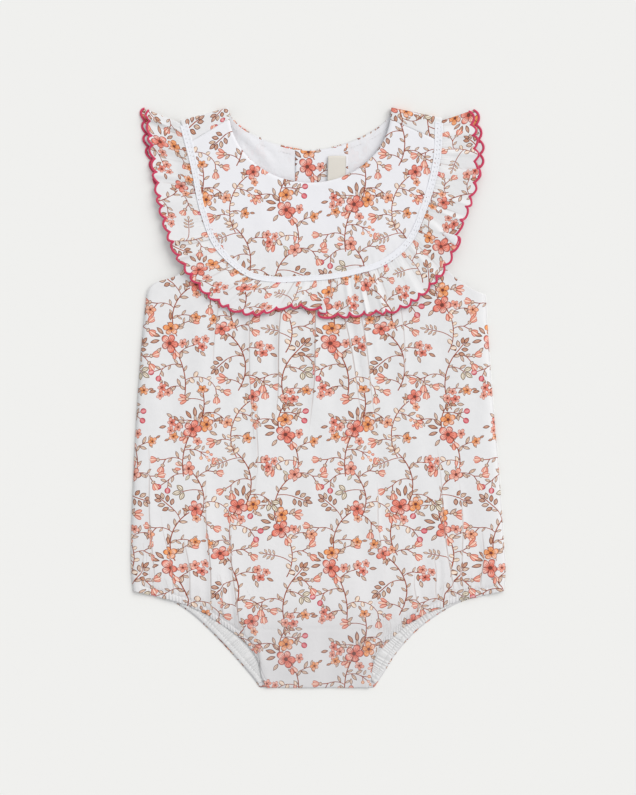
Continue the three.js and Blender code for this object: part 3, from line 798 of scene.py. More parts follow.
def woven(tree, threads):
    """The flat place of a cloth, and the height and gaps of its weave of `threads` to the centimetre."""
    place = node(tree, "ShaderNodeUVMap", uv_map="cloth").outputs["UV"]
    made = node(tree, "ShaderNodeGroup", node_tree=WEAVE, Cloth=place, Threads=threads)
    return place, Value(tree, made.outputs["Height"]), Value(tree, made.outputs["Gaps"])


def attribute(tree, name, output="Vector"):
    """An attribute that the mesh carries."""
    return node(tree, "ShaderNodeAttribute", attribute_name=name).outputs[output]


def finish_material(tree, shader, colour, relief, strength=0.9, distance=0.5):
    """Gives the shader its colour, and a bump whose distance is in millimetres."""
    connect(tree, colour, shader.inputs["Base Color"])
    bump = node(tree, "ShaderNodeBump", Height=relief, Strength=strength, Distance=distance * MM)
    connect(tree, bump.outputs["Normal"], shader.inputs["Normal"])


def printed_cotton():
    """White cotton lawn with the print in its face. The print shows faintly through on the back, and
    gathered edges have fine ribs. Painted shade greys the crotch, where the cloth lies double, the
    weave's gaps and the pressed creases, and painted light darkens the white towards the foot and
    lightens it at the yoke."""
    material, tree, shader = start_material("printed_cotton", 0.9, 0.05)
    place, height, gaps = woven(tree, COTTON_THREADS)
    mottle = noise(tree, place, 1.6, 3.0)
    white = blend(tree, (mottle - 0.35).within(), *linear_pair(COTTON_WHITES))
    down = parts_of(tree, place)[1]
    inside = Value(tree, attribute(tree, "inside", "Fac"))
    # Painted light: the white darkens towards the foot and lightens towards the yoke, and the plain inside
    # takes the yoke's white too
    to_foot = ((FOOT_SHADE[0] - down) / FOOT_SHADE[1]).within()
    to_yoke = ((down - YOKE_SHADE[0]) / YOKE_SHADE[1]).within()
    white = blend(tree, to_foot, white, linear(*FOOT_SHADED_WHITE))
    white = blend(tree, to_yoke.math("MAXIMUM", inside * 0.8), white, linear(*YOKE_WHITE))
    colour = white
    for layer in range(PRINT_LAYERS["line"]):
        along, aside, _, tone = place_parts(tree, attribute(tree, f"line_{layer}"))
        drawn = ((1.15 - aside.absolute()) * 4).within() * (along > -0.12) * (along < 1.12)
        colour = blend(tree, drawn, colour, blend(tree, tone, *linear_pair(STEM_INKS)))
    for kind, group in (("leaf", LEAF_SHAPE), ("bloom", BLOOM_SHAPE)):
        for layer in range(PRINT_LAYERS[kind]):
            in_shape = attribute(tree, f"{kind}_{layer}")
            shape = node(tree, "ShaderNodeGroup", node_tree=group, Place=in_shape)
            colour = blend(tree, shape.outputs["Cover"], colour, shape.outputs["Colour"])
    inked = 1.0 - 0.06 * noise(tree, place, 9.0, 2.0)
    colour = blend(tree, inked * (1 - 0.95 * inside), white, colour)
    # Painted shade: the cloth greys towards the crotch line and below it, where it lies double, and in the
    # gaps of the weave
    below_crotch_line = ((CROTCH_LINE / 10 + CROTCH_SHADE - down) / CROTCH_SHADE).within()
    colour = blend(tree, gaps * 0.12 + below_crotch_line * 0.16, colour, linear(*COTTON_PAINTED_SHADE))
    # Painted shade: a warm grey line along each pressed crease
    aside, strength, _ = parts_of(tree, attribute(tree, "crease"))
    crease = (aside * aside * -5.0).math("EXPONENT") * strength
    colour = blend(tree, (crease * 0.5).within(), colour, linear(*CREASE_PAINTED_SHADE))
    along, out_from, depth = parts_of(tree, attribute(tree, "hem"))
    ribs = (along * (2 * np.pi / HEM_RIB_PITCH)).sine() * depth * (1 - (out_from / HEM_RIB_REACH).within())
    relief = height * 0.05 + noise(tree, place, 3.0, 4.0) * 0.35 + ribs * 0.5 - crease * 0.7
    finish_material(tree, shader, colour, relief)
    return material


COTTON = printed_cotton()
us, vs = np.linspace(0, 1, BACK_COLUMNS), np.linspace(0, 1, BACK_ROWS)
back_plan = body_plan(foot_edge(BACK_LEG_LEFT, BACK_LEG_RIGHT), top_edge(BACK_UNDER_YOKE), us, vs)
back_face = lift(back_plan, BACK_REST)
back_body = cloth_wall("back_body_cloth", back_face, back_plan, COTTON, turned=1, below=True)
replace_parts(back_body, "back_body")

# The casings: a strip of plain white cotton over the elastic inside each back leg edge. The elastic
# draws it up into fine ribs, and stitched lines press it flat at its outer side, along the elastic and
# at the elastic's inner side.
CASING_FROM, CASING_TO = 0.10, 0.975  # shares of the leg edge that it covers
CASING_WIDTH, CASING_SET_IN, CASING_STITCH = 14.0, 0.9, 3.6
CASING_BAND = 10.0  # how much of its width the elastic draws up
CASING_TOP, CASING_SWELL, CASING_FULLNESS = 1.05, 0.2, 1.25
CASING_RIBS, CASING_RIB_HEIGHT = 50, 0.35
CASING_COLUMNS, CASING_ROWS, CASING_CUT = 330, 29, (0.016, 0.13)
PLAIN_THREADS, PLAIN_WHITES = 30, ((226, 226, 226), (237, 237, 237))
# Painted shade for the weave's gaps and for the hollows between the casing's ribs
PLAIN_GAP_SHADE, PLAIN_HOLLOW_SHADE = (190, 190, 194), (190, 189, 190)


def plain_cotton():
    """Unprinted white cotton, with painted shade in the gaps of its weave and in the hollows of its
    gathers.
    """
    material, tree, shader = start_material("plain_cotton", 0.88, 0.12)
    place, height, gaps = woven(tree, PLAIN_THREADS)
    mottle = noise(tree, place, 2.2, 3.0)
    colour = blend(tree, (mottle - 0.35).within(), *linear_pair(PLAIN_WHITES))
    colour = blend(tree, gaps * 0.15, colour, linear(*PLAIN_GAP_SHADE))
    turns, _, depth = parts_of(tree, attribute(tree, "hem"))
    # Painted shade in the hollows between the ribs
    hollow = (0.5 + 0.5 * (turns * 2 * np.pi).math("COSINE")) ** 2.5 * depth
    colour = blend(tree, hollow * 0.42, colour, linear(*PLAIN_HOLLOW_SHADE))
    finish_material(tree, shader, colour, height * 0.08 + mottle * 0.3 - hollow * 0.35)
    return material


def uneven_phase(share, count, drifts):
    """A phase that turns `count` times over the share, hurried and held back by slow swings, each
    given as its number of swings and its size in turns."""
    turns = count * share
    for swings, size in drifts:
        turns = turns + size * np.sin(2 * np.pi * swings * share)
    return 2 * np.pi * turns


def share_grid(columns, rows):
    """Shares of the way across a grid, as a row, and up it, as a column."""
    return np.linspace(0, 1, columns)[None, :], np.linspace(0, 1, rows)[:, None]


def swell_of(phase):
    """0 at the start of each turn and 1 half way round it: 0.5 - 0.5 cos(phase)."""
    return 0.5 - 0.5 * np.cos(phase)


def ridge(distance, width):
    """1 on a line, and exp(-(distance / width)^2) beside it."""
    return np.exp(-((distance / width) ** 2))


def edge_roll(distance, depth, reach):
    """How far cloth rolls down at an edge: depth times exp(-distance / reach)."""
    return depth * np.exp(-distance / reach)


def leg_line(leg, shares, side):
    """Points at shares of a leg edge's length, and the directions from them into the cloth."""
    base = at_length(curve_through(leg), shares)
    tangent = unit(np.gradient(base, axis=0))
    return base, side * np.stack([-tangent[:, 1], tangent[:, 0]], -1)


def leg_casing(name, leg, side):
    """Ribs across a strip that follows the leg edge, pressed flat along its stitched lines. Its last
    few millimetres lie smooth under the front."""
    u, v = share_grid(CASING_COLUMNS, CASING_ROWS)
    base, inward = leg_line(leg, mix(CASING_FROM, CASING_TO, u[0]), side)
    width = CASING_WIDTH * ease(u, -0.15, 0.18)
    plan = base + inward * (CASING_SET_IN + width * v)[..., None]
    across = CASING_WIDTH * v
    phase = uneven_phase(u, CASING_RIBS, [(5.5, 0.5), (13.0, 0.25)]) + 0.9 * np.sin(0.22 * across + 40 * u)
    ribs = swell_of(phase) * (1 - ease(across, CASING_BAND - 1.0, CASING_BAND + 1.5))
    pressed, swell = 1.0, 0.0
    for line in (0.0, CASING_STITCH, CASING_BAND):
        pressed = pressed * (1 - 0.85 * ridge(across - line, 0.55))
    for start, stop in ((0.0, CASING_STITCH), (CASING_STITCH, CASING_BAND)):
        swell = swell + CASING_SWELL * np.sin(np.pi * np.clip((across - start) / (stop - start), 0, 1))
    height = CASING_TOP + (CASING_RIB_HEIGHT * ribs + swell) * pressed
    over_elastic = np.sin(np.pi * np.clip(across / CASING_BAND, 0.0, 1.0)).clip(0) ** 0.4
    hem = grid(phase / (2 * np.pi), 0.0, (0.6 + 0.4 * np.sin(31 * u)) * over_elastic)
    flat = grid(CASING_FULLNESS * running_length(base), width * v)
    made = cloth_wall(name, lift(plan, height), flat, PLAIN, printed=False, hem=hem)
    return made


PLAIN = plain_cotton()
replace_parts(leg_casing("leg_casing_left_cloth", BACK_LEG_LEFT, 1), "leg_casing_left")
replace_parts(leg_casing("leg_casing_right_cloth", BACK_LEG_RIGHT, -1), "leg_casing_right")

# The back yoke: two halves of printed cotton that meet at the centre back under the placket. Each
# rolls forward over its shoulder and ends in the shoulder seam. Its neck edge is turned in and faced.
YOKE_TOP, YOKE_BOW, SHOULDER_SEAM_DIP = 4.9, 0.35, 0.15
NECK_ROLL = 0.6, 0.7  # depth and reach
SHOULDER_FLAP = 11.0  # how far it comes forward over the shoulder
FOLD_RADIUS = 2.43
FACING_WIDTH, FACING_STEP = 5.5, 0.32
BACK_YOKE_CREASES = [
    # from x, y, to x, y, width, height
    (-57.6, 197.4, -33.0, 172.0, 2.2, 1.3),
    (-50.0, 199.0, -27.0, 178.0, 1.8, 1.0),
    (-60.0, 186.0, -45.0, 168.0, 2.4, 0.9),
    (40.0, 200.0, 33.0, 184.0, 2.2, 0.9),
]
LEFT_HALF_AT, RIGHT_HALF_AT, HALVES_FROM = 14, 60, 100  # where the halves are cut from the print
FLAP_COLUMNS, ROLL_COLUMNS, HALF_COLUMNS = 14, 15, 84
HALF_GAP = 0.0008  # share of the seam between the centre and each half


def share_within(distance, right):
    """The share of the yoke that lies within a distance of its shoulder fold."""
    shares = np.linspace(0, 0.5, 1001)
    s = 1 - shares if right else shares
    middle = (front_neck(s) + at_share(seam_line, s)) / 2
    return shares[(apart(middle, middle[0]) >= distance).argmax()]


def crease_height(x, y, rows):
    """Ridges along straight lines: height times exp(-(distance aside / width)^2), tapered at the ends."""
    total = np.zeros(x.shape)
    for from_x, from_y, to_x, to_y, width, height in rows:
        run = np.array([to_x - from_x, to_y - from_y])
        length = np.hypot(*run)
        along = ((x - from_x) * run[0] + (y - from_y) * run[1]) / length**2
        aside = ((x - from_x) * run[1] - (y - from_y) * run[0]) / length
        taper = ease(along, -0.15, 0.25) * (1 - ease(along, 0.7, 1.15))
        total += height * taper * ridge(aside, width)
    return total


def neck_to_seam(neck, seam, t):
    """A strip between two lines of points, with t as its rows."""
    return mix(neck, seam, t[:, None, None])


def back_yoke(name, right):
    """One half as three strips side by side: the flap in front of the shoulder, the roll over it, which
    is half a turn of FOLD_RADIUS, and the back as far as the centre."""
    fold, centre = (1.0, 0.5 + HALF_GAP) if right else (0.0, 0.5 - HALF_GAP)
    t = np.concatenate([[0, 0.013], np.linspace(0.035, 1, 33)])
    front_s = np.abs(fold - share_within(SHOULDER_FLAP, right) * np.linspace(1, 0, FLAP_COLUMNS))
    back_s = mix(fold, centre, np.linspace(0, 1, HALF_COLUMNS)[1:])
    angle = np.linspace(np.pi, 0, ROLL_COLUMNS)[1:]
    fold_neck, fold_seam = front_neck([fold]), at_share(seam_line, [fold])
    along = unit(fold_seam - fold_neck)[0]
    outward = np.array([-along[1], along[0]]) * (1 if along[0] > 0 else -1)
    bow = YOKE_BOW * np.sin(np.pi * t)[:, None]

    front = neck_to_seam(front_neck(front_s), at_share(seam_line, front_s), t)
    rolled = neck_to_seam(fold_neck, fold_seam, t) + outward * (FOLD_RADIUS * np.sin(angle))[None, :, None]
    back = neck_to_seam(back_neck(back_s), at_share(seam_line, back_s), t)
    from_neck = apart(back, back[:1])
    facing = FACING_STEP * (1 - ease(from_neck, FACING_WIDTH - 0.6, FACING_WIDTH + 0.6))
    creases = crease_height(back[..., 0], back[..., 1], BACK_YOKE_CREASES) * ease(from_neck, 1, 6)
    soft = np.abs(unevenness(back[..., 0], back[..., 1], seed=5 + right, size=0.10, upright=0.3))
    seam_dip = SHOULDER_SEAM_DIP * ridge(apart(front, front[:, :1]), 0.8)
    rolled_height = YOKE_TOP / 2 - FOLD_RADIUS * np.cos(angle) + bow * ease(angle, np.pi / 2, np.pi)
    strips = [YOKE_TOP + bow - seam_dip, rolled_height, BACK_REST + facing + creases + soft]
    plan, height = np.concatenate([front, rolled, back], axis=1), np.concatenate(strips, axis=1)
    width = apart(plan, plan[:1])
    height = height - edge_roll(width, *NECK_ROLL) * ease(height, 2.5, 4.5)
    face = lift(plan, height)
    flat_x = RIGHT_HALF_AT + width if right else LEFT_HALF_AT - width
    flat = grid(flat_x, HALVES_FROM - running_length(face[len(t) // 2]))
    made = cloth_wall(name, face, flat, COTTON, turned=1)
    return made


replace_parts(back_yoke("back_yoke_left_cloth", False), "back_yoke_left")
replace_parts(back_yoke("back_yoke_right_cloth", True), "back_yoke_right")

# The placket: a band of printed cotton inside the centre back, over the halves' meeting edges. It shows
# its right side in the neck opening.
PLACKET_LEFT, PLACKET_RIGHT, PLACKET_FOOT, PLACKET_TOP = -17.2, 21.8, 90.0, 1.35
PLACKET_TURNING, PLACKET_RIDGE = 3.0, 0.10  # its sides are turned under this far
PLACKET_FROM = np.array([17.1, 35.0])  # where it is cut from the print, counted from its own place
PLACKET_COLUMNS, PLACKET_ROWS, PLACKET_CUT = 36, 76, (0.044, 0.105)
across, up = share_grid(PLACKET_COLUMNS, PLACKET_ROWS)
placket_x = mix(PLACKET_LEFT, PLACKET_RIGHT, across)
neck_y = back_neck(np.arccos((NECK_X - placket_x[0]) / NECK_HALF_WIDTH) / np.pi)[:, 1] - 0.9
placket_y = mix(PLACKET_FOOT, neck_y, up)
from_side = np.minimum(placket_x - PLACKET_LEFT, PLACKET_RIGHT - placket_x)
placket_z = PLACKET_TOP - edge_roll(from_side, 0.45, 1.0)
placket_z = placket_z + unevenness(placket_x, placket_y, seed=21, size=0.06)
placket_z = placket_z + PLACKET_RIDGE * ridge(from_side - PLACKET_TURNING, 0.9)
placket_plan = grid(placket_x, placket_y)
placket_face = lift(placket_plan, placket_z)
placket = cloth_wall("back_placket_cloth", placket_face, placket_plan + PLACKET_FROM, COTTON)
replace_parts(placket, "back_placket")

# The neck label: a loop of soft greige satin tape caught in the neck edge, left blank. Its sides and
# its folded end are painted darker as shade.
LABEL_LEFT, LABEL_WIDTH, LABEL_TOP_Y, LABEL_LENGTH = 6.8, 13.3, 178.2, 21.0
LABEL_TOP, LABEL_THICKNESS, LABEL_CUT = 3.25, 0.4, (0.0133, 0.0235)
LABEL_COLUMNS, LABEL_ROWS = 26, 60
LABEL_THREADS, LABEL_RIBS = 42, 20  # to the centimetre
LABEL_GREIGE, LABEL_SHADE, LABEL_GAP_SHADE = (227, 222, 213), (190, 184, 172), (192, 187, 176)


def label_tape():
    """Satin tape: long floats across it in fine ribs, with painted shade at its sides and its folded end.
    """
    material, tree, shader = start_material("label", 0.62, 0.15)
    place, height, gaps = woven(tree, LABEL_THREADS)
    across, up, _ = parts_of(tree, place)
    # Painted shade at the tape's sides, at its folded end and in the gaps of its weave
    side = (((across - LABEL_WIDTH / 20).absolute() * 20 / LABEL_WIDTH - 0.90) * 14).within()
    fold = 1 - (up * 9).within()
    shaded = (side * 0.55).math("MAXIMUM", fold * 0.25)
    colour = blend(tree, shaded, linear(*LABEL_GREIGE), linear(*LABEL_SHADE))
    colour = blend(tree, gaps * 0.3, colour, linear(*LABEL_GAP_SHADE))
    ribs = (up * 2 * np.pi * LABEL_RIBS).sine()
    finish_material(tree, shader, colour, height * 0.06 + ribs * 0.06 + side * 0.3, strength=0.8)
    return material


across, up = share_grid(LABEL_COLUMNS, LABEL_ROWS)
label_x = LABEL_LEFT + LABEL_WIDTH * across + 0.5 * (up - 0.5)
label_y = LABEL_TOP_Y - LABEL_LENGTH * (1 - up) + 0.35 * np.sin(np.pi * across)
label_bow = 0.25 * np.sin(np.pi * across) * np.sin(np.pi * up * 0.9)
label_z = LABEL_TOP + label_bow - edge_roll(up * LABEL_LENGTH, 0.9, 0.7) - 0.8 * ease(up, 0.93, 1.0)
label = cloth_wall(
    "neck_label_tape", grid(label_x, label_y, label_z), grid(LABEL_WIDTH * across, LABEL_LENGTH * up),
    label_tape(), LABEL_THICKNESS, printed=False,
)
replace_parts(label, "neck_label")

# The front: a panel cut wider than the back and gathered into the yoke seam and along both leg edges,
# where a narrow elastic hem is stitched down. Below the crotch line it lies double over the facing.
FRONT_COLUMNS, FRONT_ROWS, HEM_ROWS, HEM_SHARE = 210, 192, 18, 0.045
FRONT_UNDER_YOKE = 1.5
FRONT_LEG_LEFT = [
    (-136.5, -141.5), (-111.3, -147.8), (-91.7, -154.2), (-72.0, -166.0), (-52.5, -180.8),
    (-44.4, -193.7), (-42.0, -204.5), (-38.5, FOOT_Y),
]
FRONT_LEG_RIGHT = [
    (136.8, -141.5), (122.0, -144.8), (108.0, -147.5), (92.3, -153.3), (72.5, -162.1),
    (54.8, -175.9), (43.1, -188.5), (39.4, -200.5), (38.7, FOOT_Y),
]
FRONT_TOP, FRONT_TOP_UNDER_YOKE, FRONT_TOP_AT_FOOT, FRONT_TOP_AT_SIDE = 3.9, 3.4, 2.05, 1.3
SIDE_ROLL = 9.0
FRONT_FOLDS = [
    # from x, y, to x, y, width, height, side of the steep flank
    (-26, 84, -32, -17, 5, 1.3, -1),
    (0, 84, -6, -21, 5, 1.3, -1),
    (14, 86, 34, -21, 5, 1.2, 1),
    (27, 86, 44, -25, 5, 1.0, 1),
    (-52, 86, -47, -60, 6, 0.8, -1),
    (58, 92, 66, 0, 6, 0.7, 1),
    (-72, 96, -78, 10, 6, 0.7, -1),
    (-79, -158, -83, -60, 5, 1.1, -1),
    (-59, -172, -66, -85, 5, 1.1, -1),
    (-93, -152, -99, -96, 5, 0.9, -1),
    (-105, -147, -115, -88, 5, 0.9, 1),
    (-121, -138, -126, -30, 5, 1.0, -1),
    (-69, -163, -73, -126, 4, 0.7, -1),
    (-127, -141, -130, -104, 4, 0.6, -1),
    (99, -146, 87, -40, 5, 1.1, 1),
    (107, -146, 104, -60, 5, 0.9, 1),
    (120, -142, 121, -95, 4, 0.9, -1),
    (88, -152, 84, -112, 4, 0.7, 1),
    (73, -160, 70, -122, 4, 0.7, 1),
    (130, -139, 131, -108, 4, 0.6, 1),
    (42, -62, 48, -128, 5, 0.7, 1),
    (-44, -2, -46, -66, 5, 0.7, -1),
]
FOLD_RISE = 0.62  # how much of its height a fold keeps once it is pressed
YOKE_GATHERS, YOKE_GATHER_HEIGHT = 44, 0.4
LEG_GATHERS, LEG_GATHER_HEIGHT = 15, 0.5
LEG_HEM, LEG_HEM_SWELL, LEG_HEM_GROOVE = 5.0, 0.3, 0.4
LEG_RIBS_A_GATHER, LEG_RIB_HEIGHT, LEG_RIB_DRAWN_IN = 3.1, 0.15, 0.45
LEG_HEM_LINE = LEG_HEM + 0.3  # the stitched line that closes the hem
CROTCH_GROOVE, CROTCH_DOUBLED = 0.3, 0.15


def fold_height(x, y, rows):
    """Folds pressed by hand: each is exp(-(a/w)^2) across its line, with w three times as wide on its
    gentle flank as on its steep one, and a small trough at the steep flank's foot. The second result
    is how far cloth that is tucked out of sight moves the flat place of each point, and the third the
    distance from the nearest fold's line with its strength."""
    total, hidden, nearest, strongest = np.zeros((4, *x.shape))
    for from_x, from_y, to_x, to_y, width, height, steep in rows:
        run = np.array([to_x - from_x, to_y - from_y], float)
        along = ((x - from_x) * run[0] + (y - from_y) * run[1]) / (run @ run)
        wander = 0.9 * np.sin(7 * along + from_x)
        aside = (x - from_x - run[0] * along + wander) * steep
        reach = np.where(aside > 0, 0.30 * width, 1.35 * width)
        trough = 0.28 * ridge(aside - 0.85 * width, 0.45 * width)
        taper = ease(along, -0.05, 0.2) * (1 - ease(along, 0.5, 1.15))
        total += FOLD_RISE * height * taper * (ridge(aside, reach) - trough)
        past = ease(aside * steep, -0.6, 0.6) - 0.5
        hidden += 3.6 * height * taper * past * np.exp(-np.abs(aside) / 16)
        strength = height * taper * ridge(aside, 4)
        closer = strength > strongest
        nearest, strongest = np.where(closer, aside, nearest), np.where(closer, strength, strongest)
    return total, hidden, grid(nearest, strongest, 0.0)


def arc_run(points):
    """Running length along each row of a grid, less its value in the middle column."""
    run = running_length(points.swapaxes(0, 1)).T
    return run - run[:, [points.shape[1] // 2]]


us = np.linspace(0, 1, FRONT_COLUMNS)
vs = np.linspace(0, HEM_SHARE, HEM_ROWS, endpoint=False)
vs = np.concatenate([vs, np.linspace(HEM_SHARE, 1, FRONT_ROWS)])
front_foot = foot_edge(FRONT_LEG_LEFT, FRONT_LEG_RIGHT)
front_plan = body_plan(front_foot, top_edge(FRONT_UNDER_YOKE), us, vs)
from_foot = running_length(front_plan)
from_top = from_foot[-1] - from_foot
aside = np.minimum(*(apart(front_plan, at_length(side, vs)[:, None]) for side in (left_side, right_side)))
# The rest height: it falls to the leg edges and the sides, and sinks under the yoke
leg_share = np.minimum(us, 1 - us)[None, :] / LEG_SHARE
on_leg = ease(leg_share, 0, 0.12) * (1 - ease(leg_share, 0.95, 1.1))
to_foot = ease(leg_share, 0, 0.12) * (1 - ease(from_foot, 0, 20))
roll = np.sqrt(1 - (1 - np.clip(aside / SIDE_ROLL, 0, 1)) ** 2)
top = mix(FRONT_TOP, FRONT_TOP_AT_FOOT, to_foot)
top = mix(top, FRONT_TOP_UNDER_YOKE, ease(vs, 0.90, 0.98)[:, None])
height = mix(FRONT_TOP_AT_SIDE, top, roll)
# The elastic draws the leg edges in and out in plan
leg_phase = uneven_phase(leg_share, LEG_GATHERS, [(3.5, 0.4), (8.0, 0.22)])
leg_ribs = np.cos(LEG_RIBS_A_GATHER * leg_phase)
drawn_in = edge_roll(from_foot, LEG_RIB_DRAWN_IN, 3) * leg_ribs * on_leg
front_plan = front_plan + unit(front_plan[6] - front_plan[0])[None] * drawn_in[..., None]
front_x, front_y = front_plan[..., 0], front_plan[..., 1]
# Pressed folds, with short ones from the leg hems, and the cloth's softness
inner = ease(aside, 1, 12)
leg_u = np.concatenate([np.linspace(0.05, 0.33, 12), np.linspace(0.67, 0.95, 12)])
leg_foot = front_foot(leg_u)
short_reach = 17 + 8 * np.sin(37 * leg_u)
short_lean = 0.16 * leg_foot[:, 0] / 100 + 0.12 * np.sin(91 * leg_u)
short_folds = [
    (x, y + 4, x + lean * reach, y + reach, 3.0, 0.34, 1 if x > 0 else -1)
    for (x, y), reach, lean in zip(leg_foot, short_reach, short_lean)
]
folds, tucked, front_crease = fold_height(front_x, front_y, FRONT_FOLDS + short_folds)
height = height + folds * inner
height = height + unevenness(front_x, front_y, seed=11, size=0.20) * inner * ease(from_top, 0, 30)
# Gathers from the yoke seam and from the leg hems
seam_share = (us - ARMHOLE_SHARE) / (1 - 2 * ARMHOLE_SHARE)
on_seam = (ease(seam_share, 0, 0.08) * (1 - ease(seam_share, 0.92, 1)))[None, :]
gather_reach = 26 + 14 * np.sin(2 * np.pi * 3.3 * us + 1) + 10 * np.sin(2 * np.pi * 7.7 * us)
gather = swell_of(uneven_phase(us, YOKE_GATHERS, [(4.5, 0.5), (9.5, 0.3)]))
gather = gather * on_seam * np.exp(-from_top / gather_reach) * ease(from_top, 0, 6)
height = height + YOKE_GATHER_HEIGHT * gather
leg_reach = 20 + 9 * np.sin(9.1 * leg_share + us[None] * 5) + 6 * np.sin(23 * leg_share)
leg_gather = swell_of(leg_phase) * LEG_GATHER_HEIGHT * on_leg
height = height + leg_gather * np.exp(-from_foot / leg_reach) * ease(from_foot, 2, 9) * inner
# The leg hems, the crotch's stitched line, and its doubled and rolled edge
hem_swell = LEG_HEM_SWELL * np.sin(np.pi * np.clip(from_foot / LEG_HEM, 0, 1))
hem_groove = LEG_HEM_GROOVE * ridge(from_foot - LEG_HEM_LINE, 0.7)
hem_ribs = LEG_RIB_HEIGHT * leg_ribs * (1 - ease(from_foot, 4, 10))
height = height + (hem_swell - hem_groove + hem_ribs) * on_leg * ease(aside, 2, 8)
in_crotch = (1 - on_leg) * (np.abs(front_x) < 70)
crotch_groove = CROTCH_GROOVE * ridge(front_y - CROTCH_LINE, 0.7) * (np.abs(front_x) < 62)
foot_roll = (edge_roll(from_foot, 0.5, 0.9) + edge_roll(from_foot, 0.35, 6)) * in_crotch
below_crotch_line = CROTCH_DOUBLED * ease(CROTCH_LINE - front_y, 0, 1.6) * in_crotch
height = height - crotch_groove - foot_roll + below_crotch_line
front_face = lift(front_plan, height)
front_flat = grid(front_x + arc_run(front_face) - arc_run(front_plan) + tucked, front_y)
front_hem = grid(arc_run(front_plan[:1])[0], from_foot, on_leg)
front_body = cloth_wall(
    "front_body_cloth", front_face, front_flat, COTTON, turned=2, hem=front_hem, crease=front_crease
)
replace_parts(front_body, "front_body")

# The front yoke: a round bib of printed cotton from the neck edge, which is turned in and faced, to the
# seam that takes the gathered front and the flounce. It meets the back yoke in the shoulder seams.
FRONT_YOKE_COLUMNS, FRONT_YOKE_ROWS = 215, 51
YOKE_PUCKERS, YOKE_PUCKER_HEIGHT = 46, 0.22
t = np.concatenate([[0, 0.01], np.linspace(0.03, 1, FRONT_YOKE_ROWS)])
ends = [share_within(SHOULDER_FLAP - 0.1, right) for right in (False, True)]
s = np.linspace(ends[0], 1 - ends[1], FRONT_YOKE_COLUMNS)
yoke_plan = neck_to_seam(front_neck(s), at_share(seam_line, s), t)
from_neck, from_seam = apart(yoke_plan, yoke_plan[:1]), apart(yoke_plan, yoke_plan[-1:])
from_shoulder = np.minimum(apart(yoke_plan, yoke_plan[:, :1]), apart(yoke_plan, yoke_plan[:, -1:]))
yoke_soft = unevenness(yoke_plan[..., 0], yoke_plan[..., 1], seed=31, size=0.11, upright=0.5)
yoke_soft = yoke_soft * ease(from_neck, 0, 6)
yoke_waves = np.sin(uneven_phase(s, YOKE_PUCKERS, [(6, 0.4), (11, 0.3)]))
yoke_puckers = edge_roll(from_seam, YOKE_PUCKER_HEIGHT, 7) * yoke_waves
yoke_z = YOKE_TOP + YOKE_BOW * np.sin(np.pi * t)[:, None] - edge_roll(from_neck, *NECK_ROLL)
yoke_z = yoke_z + 0.12 * ridge(from_neck - 2.2, 1.2) + yoke_soft
yoke_z = yoke_z + yoke_puckers * ease(from_seam, 0, 3) - SHOULDER_SEAM_DIP * ridge(from_shoulder, 0.8)
front_yoke = cloth_wall("front_yoke_cloth", lift(yoke_plan, yoke_z), yoke_plan, COTTON, turned=1)
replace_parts(front_yoke, "front_yoke")

# The flounce: a straight strip of the print gathered into the yoke seam from shoulder to shoulder, with
# its outer edge scalloped and whipped with raspberry thread. Its two ends carry on behind the shoulders.
SCALLOP_PITCH, SCALLOP_DEPTH, SCALLOP_ROUNDNESS, SCALLOP_COLUMNS = 9.2, 3.4, 0.7, 12
FLOUNCE_ROWS, FLOUNCE_MIDDLE, UNDER_SEAM = 26, 12, 0.3
FLOUNCE_WAVES, FLOUNCE_DRIFTS = 23, [(3.5, 0.32), (8.5, 0.2)]
FLOUNCE_SEAM_WAVE, FLOUNCE_EDGE_WAVE, FLOUNCE_LEAN = 0.8, 2.4, 1.2
FLOUNCE_GATHERS, FLOUNCE_GATHER_HEIGHT = 40, 0.24
FLOUNCE_TOP_AT_SEAM, FLOUNCE_CLEARANCE = 4.7, 1.0
FLOUNCE_FULLNESS, FLOUNCE_LENGTHENED, FLOUNCE_FROM = 1.12, 1.04, 62  # on the flat cloth
FLOUNCE_TUCKS = [
    # x, y, slide, half width, step
    (3.4, 62.8, 14.0, 6.0, 2.2),
    (99.5, 116.5, 14.0, 6.0, -1.5),
    (116.8, 167.5, 13.0, 5.5, -0.8),
]
BACK_FLOUNCE_SHARE, BACK_FLOUNCE_OVERHANG, BACK_FLOUNCE_SCALLOPS = 0.115, 3.9, 6
BACK_FLOUNCE_COLUMNS, BACK_FLOUNCE_FULLNESS, BACK_FLOUNCE_FROM = 97, 1.1, 12
BACK_FLOUNCE_REST, BACK_FLOUNCE_WAVE = 0.5, 0.30
edge_run = running_length(edge_line)
EDGE_LENGTH = edge_run[-1]
SCALLOPS = round(EDGE_LENGTH / SCALLOP_PITCH)
rest_line = curve_through(np.stack([np.arange(len(YOKE_SECTIONS)), YOKE_SECTIONS[:, 4]], -1))


def scallop(share, count):
    """Arcs that bulge outwards and meet in points: depth(|sin(pi n share)|^0.7 - 0.5)."""
    return SCALLOP_DEPTH * (np.abs(np.sin(np.pi * share * count)) ** SCALLOP_ROUNDNESS - 0.5)


